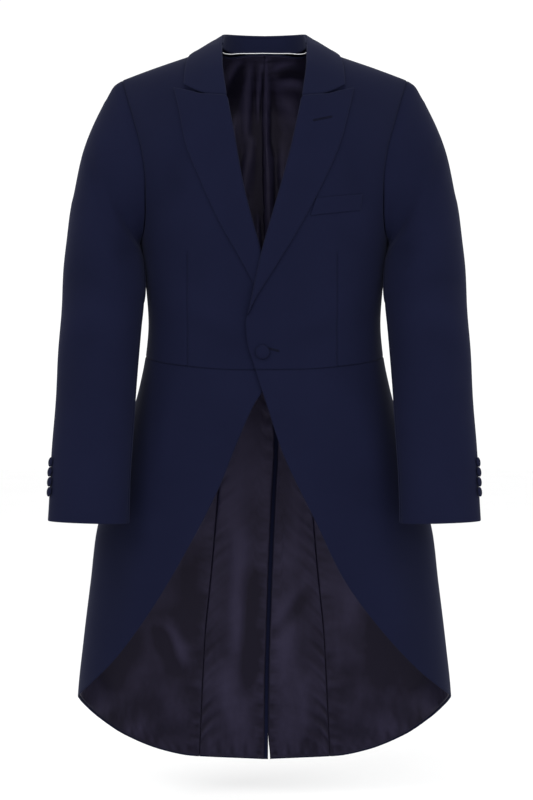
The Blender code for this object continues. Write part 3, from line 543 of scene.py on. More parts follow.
def ripple(chart: Array, seed: int, scale: float, depth: float) -> Array:
    """Uneven low waves, from a few seeded sines.

    Args:
        chart: Points of the chart.
        seed: Seed of the directions and phases.
        scale: Usual wave length.
        depth: Usual height.

    Returns:
        Heights.
    """
    source = np.random.default_rng(seed)
    total = np.zeros(chart.shape[:-1])
    for _ in range(7):
        turn = source.uniform(0.0, math.pi)
        length = scale * source.uniform(0.6, 1.7)
        way = np.array((math.cos(turn), math.sin(turn))) * 2.0 * math.pi / length
        total += np.sin(chart @ way + source.uniform(0.0, 2.0 * math.pi))
    return total * depth / math.sqrt(7.0)


def lengths(grid: Array, axis: int) -> Array:
    """Distance run along a grid from its first row or column."""
    steps = np.linalg.norm(np.diff(grid, axis=axis), axis=-1)
    zero = np.zeros_like(np.take(steps, [0], axis=axis))
    return np.concatenate((zero, np.cumsum(steps, axis=axis)), axis=axis)


def grid_normals(grid: Array) -> Array:
    """Directions square to a grid of points."""
    across = np.gradient(grid, axis=1)
    down = np.gradient(grid, axis=0)
    return unit(np.cross(across, down))


@dataclass
class Shell:
    """Closed thin cloth over a grid of points.

    Its outer skin dips where it is sewn and both skins close in where an edge is free.
    Rims are given in the order top, bottom, left, right.
    """

    name: str
    middle: Array
    outward: Array
    thickness: float
    rims: tuple[Rim, Rim, Rim, Rim] = (Rim.SEAM,) * 4
    seam_dip: float = 0.9 * MM
    seam_width: float = 1.4 * MM
    raised: Array | float = 0.0
    # Painted shade (below 0) and painted light (above 0), which the materials add to the colour
    shade: Array | float = 0.0
    sewn_share: Array | float = 1.0

    def _edge_distances(self) -> list[Array]:
        """Distance of each point from the four edges, in the order of the rims."""
        down, across = lengths(self.middle, 0), lengths(self.middle, 1)
        return [down, down[-1:] - down, across, across[:, -1:] - across]

    def dip(self) -> Array:
        """How deep the cloth dips towards its sewn edges."""
        total = np.zeros(self.middle.shape[:-1])
        for rim, away in zip(self.rims, self._edge_distances()):
            if rim is Rim.SEAM:
                total += self.seam_dip * np.exp(-((away / self.seam_width) ** 2))
        return total * self.sewn_share

    def skins(self) -> tuple[Array, Array]:
        """Outer and inner skin."""
        half = np.full(self.middle.shape[:-1], self.thickness / 2)
        for rim, away in zip(self.rims, self._edge_distances()):
            if rim is not Rim.SEAM:
                share = np.clip(away / self.thickness, 0.0, 1.0)
                half = np.minimum(half, self.thickness / 2
                                  * np.maximum(0.22, np.sqrt(1.0 - (1.0 - share) ** 2)))
        raised = (self.raised - self.dip())[..., None]
        centre = self.middle + self.outward * raised
        return centre + self.outward * half[..., None], centre - self.outward * half[..., None]

    def finish(self, slot: Slot, cover: Material, *rests_on: str) -> None:
        """Args:
            slot: The record's slot.
            cover: The material.
            *rests_on: Names of the nodes that it lies on.
        """
        piece = dress(self.build(), slot, cover, self.name)
        cut = self.name.removesuffix("_left").removesuffix("_right")
        CUTS[cut].declare(piece, rests_on)

    def build(self) -> Object:
        """The closed mesh, with a UV map in metres along the cloth."""
        outer, inner = self.skins()
        rows, columns = outer.shape[:2]
        points = np.concatenate((outer.reshape(-1, 3), inner.reshape(-1, 3)))
        index = np.arange(rows * columns).reshape(rows, columns)
        a, b = index[:-1, :-1], index[:-1, 1:]
        c, d = index[1:, 1:], index[1:, :-1]
        skin = np.stack((a, d, c, b), axis=-1).reshape(-1, 4)
        back = skin[:, ::-1] + rows * columns
        loop = np.concatenate((index[0, :], index[1:, -1], index[-1, -2::-1], index[-2:0:-1, 0]))
        after = np.roll(loop, -1)
        side = np.stack((loop, after, after + rows * columns, loop + rows * columns), axis=-1)
        faces = np.concatenate((skin, back, side))
        if signed_volume(points, faces) < 0.0:
            faces = faces[:, ::-1]
        across, down = lengths(self.middle, 1), lengths(self.middle, 0)
        flat = np.stack((across + self.middle[:, :1, 0], down), axis=-1).reshape(-1, 2)
        made = mesh_object(self.name, points, faces, np.concatenate((flat, flat)))
        # Point attributes that the materials turn into colour: the seam mask (the seam's own dark
        # line and painted shade in its groove), the fold height (painted shade in troughs, painted
        # light on ridges) and the painted shade
        sewn = np.clip(self.dip() / self.seam_dip, 0.0, 1.0)
        relief = np.clip(np.broadcast_to(self.raised, sewn.shape) / RELIEF_RANGE, -1.0, 1.0)
        shade = np.broadcast_to(self.shade, sewn.shape)
        for word, values in ((SEWN, sewn), (RELIEF, relief), (SHADE, shade)):
            layer = made.data.attributes.new(word, "FLOAT", "POINT")
            layer.data.foreach_set("value", np.tile(values.ravel(), 2).astype(np.float32))
        return made


def placed(name: str, data: bpy.types.ID) -> Object:
    """New object with the data, linked to the scene."""
    made = bpy.data.objects.new(name, data)
    bpy.context.scene.collection.objects.link(made)
    return made


def signed_volume(points: Array, faces: Array) -> float:
    """Volume inside a closed mesh of quads, below 0 where it is inside out."""
    corners = points[faces]
    first = np.cross(corners[:, 1], corners[:, 2])
    second = np.cross(corners[:, 2], corners[:, 3])
    return float(np.sum(corners[:, 0] * (first + second)) / 6.0)


def mesh_object(name: str, points: Array, faces: Array, flat: Array) -> Object:
    """Smooth mesh object from arrays.

    Args:
        name: The piece's name.
        points: Corner points.
        faces: Corner numbers of each four-sided face.
        flat: Place of each corner in the cloth, in metres.

    Returns:
        The object, linked to the scene.
    """
    mesh = bpy.data.meshes.new(name)
    mesh.vertices.add(len(points))
    mesh.vertices.foreach_set("co", points.astype(np.float32).ravel())
    mesh.loops.add(faces.size)
    mesh.loops.foreach_set("vertex_index", faces.astype(np.int32).ravel())
    mesh.polygons.add(len(faces))
    mesh.polygons.foreach_set("loop_start", np.arange(0, faces.size, 4, dtype=np.int32))
    mesh.polygons.foreach_set("use_smooth", np.ones(len(faces), dtype=bool))
    layer = mesh.uv_layers.new(name=UV_NAME)
    layer.data.foreach_set("uv", flat[faces.ravel()].astype(np.float32).ravel())
    mesh.update(calc_edges=True)
    mesh.validate()
    return placed(name, mesh)


def mirrored(points: Array, hand: Hand) -> Array:
    """Points turned to the other side for the wearer's right."""
    return points * np.array((hand.value, 1.0, 1.0))


def dress(piece: Object, slot: Slot, finish: Material,
          *nodes: str) -> Object:
    """Gives a piece its finish and its body, and hides the CAD nodes that it stands for.

    Args:
        piece: The piece.
        slot: The record's slot; not used.
        finish: The material.
        *nodes: Names of the CAD nodes that it replaces.

    Returns:
        The piece.
    """
    piece.data.materials.clear()
    piece.data.materials.append(finish)
    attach(piece, "root")
    if nodes:
        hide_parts(*nodes)
    log.info("%s: %d faces", piece.name, len(piece.data.polygons))
    return piece


@dataclass(frozen=True)
class FlatCut:
    """Size a cloth piece was cut to, without seam allowance."""

    width: float
    length: float
    area: float
    held: str = "stretched"

    def declare(self, piece: Object, rests_on: Sequence[str] = ()) -> None:
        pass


def laid(grid: Array, lift: float, lapped: bool) -> tuple[Array, Array, Array]:
    """Grid laid over or under the form.

    Args:
        grid: Angles and heights.
        lift: Height over the form.
        lapped: Whether it also rides over the other front.

    Returns:
        Points, outward directions, and a chart of distances from the middle and heights.
    """
    base = FORM.point(grid[..., 0], grid[..., 1])
    outward = FORM.normal(base)
    rise = FORM.lap(base[..., 0], base[..., 2]) if lapped else np.zeros(base.shape[:-1])
    return base + outward * (lift + rise)[..., None], outward, base[..., [0, 2]]


@dataclass(frozen=True)
class BodyPanels:
    """Fronts, sidebodies, skirts and backs of the coat."""

    cloth: float = 2.0 * MM
    neck_side: float = 0.0700
    shoulder_tip: float = 0.2050
    side_seam: float = 86.0
    side_turn: float = 168.0
    back_turn: float = 268.0
    shoulder_ease: float = 2.0
    front_armhole_share: float = 0.62
    back_armhole_share: float = 0.14
    back_seam_share: float = 0.39
    cutaway_split: float = 0.50
    vent_top: float = -0.455
    vent_open_from: float = -1.000
    vent_opening: float = 3.0 * MM
    vent_facing: float = 5.5 * MM
    wave: float = 0.16
    wave_height: float = 0.35 * MM
    front_tuck: float = 2.6 * MM
    tuck_reach: float = 9.0 * MM
    lapel_ends_at: float = 0.82
    dart_share: dict[Hand, float] = by_hand(0.410, 0.428)
    dart_line: dict[Hand, float] = by_hand(0.1017, 0.1078)
    dart_reach: Span = (-0.452, -0.285)
    dart_dip: float = 1.5 * MM
    dart_width: float = 1.2 * MM
    dart_fades: Span = (4.0 * MM, 12.0 * MM)
    dart_settles: float = 0.12
    front_creases: tuple[Crease, ...] = folds(
        (0.03, -0.425, 0.125, -0.385, 0.014, -1.2, 0.004),
        (0.035, -0.395, 0.14, -0.335, 0.018, 0.9, -0.006),
        (0.15, -0.235, 0.118, -0.13, 0.016, -1.6, 0.01),
        (0.165, -0.275, 0.12, -0.2, 0.02, 1.2, 0.006),
        (0.16, -0.33, 0.118, -0.42, 0.016, -1.0, 0.004),
        (0.12, -0.04, 0.16, -0.11, 0.022, -1.0, 0.004),
    )
    skirt_creases: tuple[Crease, ...] = folds(
        (0.15, -0.45, 0.185, -0.64, 0.02, -1.8, 0.006),
        (0.11, -0.455, 0.15, -0.6, 0.018, 1.1, 0.006),
        (0.195, -0.56, 0.232, -0.88, 0.026, -2.0, -0.006),
        (0.15, -0.64, 0.19, -0.82, 0.026, 1.4, 0.008),
    )
    # Trough in the front under the gap between collar and lapel; notch_shade also paints shadow
    # into it
    notch: Crease = Crease((0.1130, -0.0622), (0.084, -0.0712), 0.0040, 4.5 * MM, 0.0, 0.3)
    notch_shade: float = 0.7
    side_creases: tuple[Crease, ...] = folds(
        (0.172, -0.3, 0.15, -0.42, 0.014, -1.6, 0.004),
    )
    back_creases: tuple[Crease, ...] = folds(
        (0.03, -0.01, 0.135, -0.085, 0.016, -1.2, 0.01),
        (0.15, -0.15, 0.085, -0.265, 0.018, -1.8, 0.01),
        (0.13, -0.19, 0.06, -0.31, 0.02, 1.3, 0.008),
        (0.012, -0.36, 0.05, -0.43, 0.012, -1.2, 0.004),
        (0.03, -0.5, 0.05, -0.76, 0.02, -1.8, 0.006),
        (0.058, -0.56, 0.082, -0.9, 0.02, 1.4, -0.006),
        (0.02, -0.78, 0.034, -1.000, 0.018, -1.4, 0.004),
    )

    def front_patch(self, hand: Hand, columns: Array, rows: Array) -> Patch:
        """Front from the roll line to the side seam, shoulder to waist."""
        edge = edge_line(FRONT_EDGE[hand])
        upper, ease = self.front_armhole_share, self.shoulder_ease
        left = chain((upper, lambda share: edge(upper * share**ease)),
                     (1.0, lambda share: edge(upper + (1.0 - upper) * share)))
        right = chain((upper, armhole_line(0.0, self.side_turn, ease)),
                      (1.0, straight_line(self.side_top(), self.side_bottom())))
        return Patch(shoulder_line(self.neck_side, self.shoulder_tip, False),
                     level_line(WAIST_SEAM, float(edge(np.ones(1))[0, 0]), self.side_seam),
                     left, right, columns, rows)

    def side_top(self) -> Array:
        """Upper end of the side seam."""
        return armhole_line(0.0, self.side_turn)(np.ones(1))[0]

    def side_bottom(self) -> Array:
        """Lower end of the side seam."""
        return np.array((self.side_seam, WAIST_SEAM.read("height", self.side_seam)))

    def sidebody_patch(self, columns: Array, rows: Array) -> Patch:
        """Side panel under the arm."""
        back_angle = float(BACK_SEAM.read("angle", 1.0))
        return Patch(armhole_line(self.side_turn, self.back_turn),
                     level_line(WAIST_SEAM, self.side_seam, back_angle),
                     straight_line(self.side_top(), self.side_bottom()),
                     angle_line(BACK_SEAM), columns, rows)

    def back_patch(self, hand: Hand, columns: Array, rows: Array,
                   hem_margin: float = 0.0) -> Patch:
        """Back from neck to hem, narrow at the waist, split at the centre."""
        shoulder = shoulder_line(self.neck_side, self.shoulder_tip, True)
        ends = shoulder(np.array((0.0, 1.0)))[:, 0]
        neck_share = float((180.0 - ends[0]) / (180.0 - ends[1]))
        bottom = float(HEM.read("height", 180.0)) + hem_margin
        neck = float(NECKLINE.read("height", 0.0))
        upper = self.back_armhole_share

        def centre(share: Array) -> Array:
            eased = np.where(share < upper, upper * (share / upper) ** self.shoulder_ease, share)
            height = neck + (bottom - neck) * eased
            shift = CENTRE_BACK.read("shift", height) * hand.value
            return pair(FORM.angle_of(shift, height, True), height)

        def neckline(share: Array) -> Array:
            height = NECKLINE.read("height", self.neck_side * share)
            return pair(FORM.angle_of(self.neck_side * share, height, True), height)

        outer = chain((upper, armhole_line(360.0, self.back_turn, self.shoulder_ease)),
                      (self.back_seam_share, angle_line(BACK_SEAM)),
                      (1.0, edge_line(TAIL_SEAM, behind=True)))
        hem = level_line(HEM, float(centre(np.ones(1))[0, 0]),
                         float(outer(np.ones(1))[0, 0]), hem_margin)
        return Patch(chain((neck_share, neckline), (1.0, shoulder)), hem, centre, outer,
                     columns, rows)

    def skirt_patch(self, hand: Hand, columns: Array, rows: Array,
                    hem_margin: float = 0.0) -> Patch:
        """Skirt from the cutaway front edge round to the tail seam."""
        table = CUTAWAY[hand]
        cutaway = edge_line(table)(np.array((0.0, 1.0)))[:, 0]
        tail = edge_line(TAIL_SEAM, behind=True)
        lower = chain((0.5, edge_line(table, start=self.cutaway_split)),
                      (1.0, level_line(HEM, float(cutaway[1]), float(tail(np.ones(1))[0, 0]))))
        return Patch(level_line(WAIST_SEAM, float(cutaway[0]), float(BACK_SEAM.read("angle", 1.0))),
                     lambda share: lower(share) + np.array((0.0, hem_margin)),
                     edge_line(table, end=self.cutaway_split), tail, columns, rows)

    def draw_from_vent(self, grid: Array, facing: bool) -> Array:
        """Edge at the centre back drawn away where the vent opens or its facing shows.

        Args:
            grid: Angles and heights, with the centre back in the first column.
            facing: Whether a strip of coat cloth shows beside the vent.

        Returns:
            The grid with its edge moved.
        """
        angle, height = grid[:, 0, 0], grid[:, 0, 1]
        if facing:
            margin = self.vent_facing * fade(-height, -self.vent_top - 0.02, -self.vent_top + 0.02)
        else:
            margin = self.vent_opening * fade(-height, -self.vent_open_from,
                                              -float(HEM.read("height", 180.0)))
        edge = FORM.point(angle, height)[:, 0] + margin
        change = FORM.angle_of(edge, height, True) - angle
        grid = grid.copy()
        grid[..., 0] += change[:, None] * np.linspace(1.0, 0.0, grid.shape[1])[None, :]
        return grid

    def shell(self, name: str, grid: Array, hand: Hand, rims: tuple[Rim, Rim, Rim, Rim],
              creases: Sequence[Crease], lapped: bool, seed: int) -> Shell:
        """Cloth shell of one panel.

        Args:
            name: Name of the piece.
            grid: Angles and heights.
            hand: Side of the coat.
            rims: Finish of the top, bottom, left and right edges.
            creases: Folds, by distance from the middle and height.
            lapped: Whether the panel laps over the other front.
            seed: Seed of the slight unevenness.

        Returns:
            The shell, before it is built.
        """
        middle, outward, chart = laid(grid, -self.cloth / 2, lapped)
        raised = creased(chart, creases) + ripple(chart, seed, self.wave, self.wave_height)
        return Shell(name, mirrored(middle, hand), mirrored(outward, hand), self.cloth, rims,
                     raised=raised)

    def dip_along(self, shell: Shell, column: int, reach: Span) -> None:
        """Presses a dart's seam into a shell along one of its columns."""
        across = lengths(shell.middle, 1)
        away = across - across[:, column:column + 1]
        height = shell.middle[..., 2]
        foot, top = self.dart_fades
        ends = fade(height, reach[0] - foot, reach[0]) * (1.0 - fade(height, reach[1] - top,
                                                                     reach[1]))
        dip = self.dart_dip * np.exp(-((away / self.dart_width) ** 2))
        shell.raised = shell.raised - dip * ends

    def straighten(self, grid: Array, columns: Array, column: int, from_middle: float) -> Array:
        """Grid drawn sideways so that the dart's column runs straight down.

        Args:
            grid: Angles and heights.
            columns: Shares of the grid's columns.
            column: Number of the dart's column.
            from_middle: Distance of the dart from the middle.

        Returns:
            The grid, unmoved at its side edges and well above the dart.
        """
        height = grid[:, column, 1]
        change = FORM.angle_of(from_middle, height) - grid[:, column, 0]
        top = self.dart_reach[1]
        change = change * (1.0 - fade(height, top, top + self.dart_settles))
        share = np.interp(columns, (0.0, columns[column], 1.0), (0.0, 1.0, 0.0))
        grid = grid.copy()
        grid[1:-1, :, 0] += (change[:, None] * share[None, :])[1:-1]
        return grid

    def tuck_front(self, shell: Shell, hand: Hand) -> None:
        """Draws the front's edge in where the lapel folds round it."""
        across = unit(shell.middle[:, 3:4] - shell.middle[:, 0:1])
        away = lengths(shell.middle, 1)
        end = float(FRONT_EDGE[hand].read("height", self.lapel_ends_at))
        lapel = fade(shell.middle[:, :1, 2], end - 0.006, end + 0.006)
        shell.middle = shell.middle + across * (
            self.front_tuck * lapel * np.exp(-((away / self.tuck_reach) ** 2)))[..., None]

    def build(self, hand: Hand, finish: Material) -> Array:
        """Builds and dresses the four panels of one side.

        Args:
            hand: Side of the coat.
            finish: Coat cloth.

        Returns:
            Outer skin of the front, which carries its buttonhole.
        """
        word, lapped = hand.word, hand is Hand.LEFT
        seam, free = Rim.SEAM, Rim.FREE
        dart = self.dart_share[hand]
        columns = graded(0.24, 78, marks=(dart,))
        patch = self.front_patch(hand, columns, graded(0.50, 118))
        column = int(np.argmin(np.abs(columns - dart)))
        grid = self.straighten(patch.grid(), columns, column, self.dart_line[hand])
        front = self.shell(f"front_{word}", grid, hand, (seam, seam, free, seam),
                           self.front_creases, lapped, 11)
        self.dip_along(front, column, self.dart_reach)
        _, _, chart = laid(grid, 0.0, False)
        hollow = self.notch.height(chart)
        front.raised = front.raised - hollow
        # Painted shadow in the notch's trough, darkest along its middle
        front.shade = -self.notch_shade * hollow / self.notch.depth
        self.tuck_front(front, hand)
        front.finish(Slot.CLOTH, finish)

        patch = self.sidebody_patch(graded(0.15, 36), graded(0.22, 60))
        self.shell(f"sidebody_{word}", patch.grid(), hand, (seam,) * 4,
                   self.side_creases, False, 23).finish(Slot.CLOTH, finish)

        patch = self.skirt_patch(hand, graded(0.42, 112), graded(0.50, 124))
        self.shell(f"skirt_{word}", patch.grid(), hand, (seam, free, free, seam),
                   self.skirt_creases, lapped, 37).finish(Slot.CLOTH, finish)

        patch = self.back_patch(hand, graded(0.12, 44), graded(1.05, 230))
        grid = patch.grid()
        if hand is Hand.LEFT:
            grid = self.draw_from_vent(grid, False)
        self.shell(f"back_{word}", grid, hand, (seam, free, seam, seam),
                   self.back_creases, False, 41).finish(Slot.CLOTH, finish)
        return front.skins()[0]


@dataclass(frozen=True)
class Lining:
    """Satin inside the back and the skirts, which shows through the front opening."""

    panels: BodyPanels
    satin: float = 1.0 * MM
    behind: float = 3.2 * MM
    hem_margin: float = 3.0 * MM
    back_folds: dict[Hand, tuple[Crease, ...]] = by_hand(folds(
        (0.0026, 0.012, 0.002, -0.25, 0.004, 4.0, 0.0, 0.4),
        (0.0075, -0.11, 0.005, -0.34, 0.0044, 4.8, 0.002, 0.4),
        (0.011, 0.004, 0.012, -0.13, 0.0045, -2.2, 0.001, 0.6),
        (0.013, -0.03, 0.015, -0.26, 0.006, -2.6, 0.003, 0.5),
        (0.01, -0.006, 0.05, 0.002, 0.0045, 2.8, 0.003),
        (0.016, -0.014, 0.06, -0.016, 0.005, -2.6, 0.004),
        (0.022, -0.026, 0.062, -0.03, 0.006, 2.4, 0.004),
        (0.028, -0.044, 0.052, -0.11, 0.01, 1.8, 0.006),
        (0.024, -0.11, 0.038, -0.24, 0.009, 2.6, -0.004),
        (0.02, -0.16, 0.026, -0.33, 0.007, -2.2, 0.003),
        (0.052, -0.06, 0.066, -0.19, 0.01, -3.4, 0.004),
    ), folds(
        (-0.0026, 0.012, -0.002, -0.25, 0.004, 4.0, 0.0, 0.4),
        (0.006, -0.09, 0.002, -0.3, 0.0044, -4.5, 0.001, 0.5),
        (0.005, 0.008, 0.011, -0.08, 0.0034, 3.0, 0.001, 0.5),
        (0.001, -0.004, 0.008, -0.13, 0.0024, -5.5, 0.001, 0.5),
        (0.014, 0.004, 0.014, -0.11, 0.0042, -3.4, 0.002, 0.6),
        (0.02, 0.01, 0.027, -0.11, 0.0054, 4.0, 0.004, 0.6),
        (0.03, 0.002, 0.052, -0.08, 0.0075, -4.2, 0.005, 0.6),
        (0.034, 0.008, 0.06, -0.024, 0.0048, 3.2, 0.003),
        (0.04, -0.06, 0.05, -0.13, 0.006, 2.6, 0.003),
        (0.018, -0.1, 0.034, -0.23, 0.007, 3.0, 0.004),
        (0.006, -0.09, 0.012, -0.24, 0.005, -2.8, 0.002),
        (0.03, -0.11, 0.046, -0.2, 0.006, -3.0, 0.003),
        (0.01, -0.2, 0.012, -0.335, 0.004, 3.4, -0.002, 0.5),
    ))
    tail_folds: dict[Hand, tuple[Crease, ...]] = by_hand(folds(
        (0.008, -0.855, 0.066, -0.77, 0.011, -3.0, -0.004),
        (0.012, -0.838, 0.07, -0.752, 0.012, 2.2, -0.004),
        (0.022, -0.545, 0.034, -0.72, 0.013, -1.6, 0.004),
        (0.054, -0.9, 0.06, -1.01, 0.011, 1.6, 0.002),
    ), folds(
        (0.012, -0.745, 0.03, -0.95, 0.011, -4.0, 0.004),
        (0.03, -0.68, 0.044, -0.88, 0.012, 2.0, 0.006),
        (0.008, -0.84, 0.02, -0.93, 0.007, -3.0, 0.003),
        (0.052, -0.56, 0.066, -0.7, 0.014, 1.6, 0.003),
        (0.06, -0.88, 0.05, -1.000, 0.012, 1.6, 0.003),
    ))
    skirt_folds: dict[Hand, tuple[Crease, ...]] = by_hand(folds(
        (0.13, -0.76, 0.18, -0.93, 0.02, -2.6, 0.008),
        (0.11, -0.68, 0.15, -0.87, 0.022, 2.4, 0.008),
        (0.175, -0.8, 0.225, -0.93, 0.018, -2.2, 0.006),
    ), folds(
        (0.12, -0.9, 0.15, -0.82, 0.011, 3.6, 0.003),
        (0.132, -0.912, 0.168, -0.83, 0.012, -2.8, 0.003),
        (0.105, -0.7, 0.12, -0.9, 0.022, -2.0, 0.008),
        (0.19, -0.83, 0.225, -0.93, 0.018, -2.2, 0.006),
    ))
    wave: float = 0.060
    wave_height: float = 0.45 * MM
    least: float = -1.0 * MM
    rim_fade: float = 5.0 * MM
    seam_dip: float = 0.8 * MM
    seam_width: float = 1.1 * MM
    pleat_from: float = -0.40
    pleat_width: float = 6.0 * MM
    pleat_share: float = 0.75
    # Painted light and shade on the satin: the tails darker towards the hem and lighter higher up,
    # painted shade beside the lapels, and painted shade in troughs too deep to be built
    tail_shade: Span = (-0.26, 0.20)
    tail_shade_reach: Span = (-1.02, -0.50)
    tail_shade_ends: Span = (-0.45, -0.38)
    side_shade: float = -0.30
    side_shade_across: Span = (0.026, 0.060)
    side_shade_above: Span = (-0.36, -0.30)
    fold_shade: float = 0.5
    pucker_pitch: float = 17.0 * MM
    pucker_depth: float = 0.9 * MM
    pucker_fade: float = 16.0 * MM

    def puckers(self, away: Array, along: Array, seed: int) -> Array:
        """Small gathers that die out away from a sewn edge.

        Args:
            away: Distance from the edge.
            along: Distance along it.
            seed: Seed of their unevenness.

        Returns:
            Heights.
        """
        source = np.random.default_rng(seed)
        total = np.zeros_like(away)
        for _ in range(4):
            pitch = self.pucker_pitch * source.uniform(0.6, 1.8)
            lean = source.uniform(-0.4, 0.4)
            phase = source.uniform(0.0, 2.0 * math.pi)
            total += np.sin(2.0 * math.pi * (along + lean * away) / pitch + phase)
        return total * self.pucker_depth / 2.0 * np.exp(-away / self.pucker_fade)

    def shell(self, name: str, grid: Array, hand: Hand, creases: Sequence[Crease],
              backing: Sequence[Crease], lapped: bool, pleated: bool, seed: int) -> Shell:
        """Satin shell behind a panel; its folds stand into the hollow.

        Args:
            name: Name of the piece.
            grid: Angles and heights.
            hand: Side of the coat.
            creases: Folds, by distance from the middle and height.
            backing: Creases of the cloth behind it, which press it inward.
            lapped: Whether the panel before it laps.
            pleated: Whether it has the back's centre pleat, above the vent.
            seed: Seed of the unevenness.

        Returns:
            The shell, before it is built.
        """
        middle, outward, chart = laid(grid, -self.behind - self.satin / 2, lapped)
        raised = creased(chart, creases) + ripple(chart, seed, self.wave, self.wave_height)
        down, across = lengths(middle, 0), lengths(middle, 1)
        edges = ((down, across), (down[-1:] - down, across),
                 (across, down), (across[:, -1:] - across, down))
        for edge in (1, 2, 3):
            raised = raised + self.puckers(*edges[edge], seed + edge)
        free = fade(chart[..., 1], self.pleat_from - 0.03, self.pleat_from) * float(pleated)
        from_rim = np.minimum.reduce([edges[0][0], edges[1][0], across + free, edges[3][0]])
        held = fade(from_rim, 0.0, self.rim_fade)
        deep = np.minimum(0.0, raised - self.least)
        raised = np.maximum(raised, self.least) * held
        raised = raised + np.maximum(0.0, -creased(chart, backing))
        # Painted shade in the troughs, for the depth that the satin is not allowed to take
        shade = self.shade(chart) + self.fold_shade * deep / RELIEF_RANGE * held
        sewn_share = 1.0 - self.pleat_share * free * np.exp(-((across / self.pleat_width) ** 2))
        rims = (Rim.HIDDEN, Rim.HIDDEN, Rim.SEAM, Rim.SEAM)
        return Shell(name, mirrored(middle, hand), mirrored(-outward, hand), self.satin, rims,
                     seam_dip=self.seam_dip, seam_width=self.seam_width, raised=raised,
                     shade=shade, sewn_share=sewn_share)

    def shade(self, chart: Array) -> Array:
        """Painted light and shade on the satin: lighter in the upper tails, darker towards their
        hems, and painted shade beside the lapels.
        """
        from_middle, height = chart[..., 0], chart[..., 1]
        low, high = self.tail_shade
        tails = low + (high - low) * fade(height, *self.tail_shade_reach)
        tails = tails * (1.0 - fade(height, *self.tail_shade_ends))
        side = fade(from_middle, *self.side_shade_across) * fade(height, *self.side_shade_above)
        return tails + self.side_shade * side

    def build(self, hand: Hand, finish: Material) -> None:
        """Builds and dresses the two linings of one side."""
        word = hand.word
        patch = self.panels.back_patch(hand, graded(0.12, 62), graded(1.05, 250),
                                       self.hem_margin)
        grid = self.panels.draw_from_vent(patch.grid(), hand is Hand.RIGHT)
        back = self.shell(f"lining_back_{word}", grid, hand,
                          self.back_folds[hand] + self.tail_folds[hand],
                          self.panels.back_creases, False, True, 51)
        back.finish(Slot.LINING, finish, f"back_{word}")
        patch = self.panels.skirt_patch(hand, graded(0.42, 96), graded(0.50, 110),
                                        self.hem_margin)
        skirt = self.shell(f"lining_skirt_{word}", patch.grid(), hand, self.skirt_folds[hand],
                           self.panels.skirt_creases, hand is Hand.LEFT, False, 67)
        skirt.finish(Slot.LINING, finish, f"skirt_{word}")


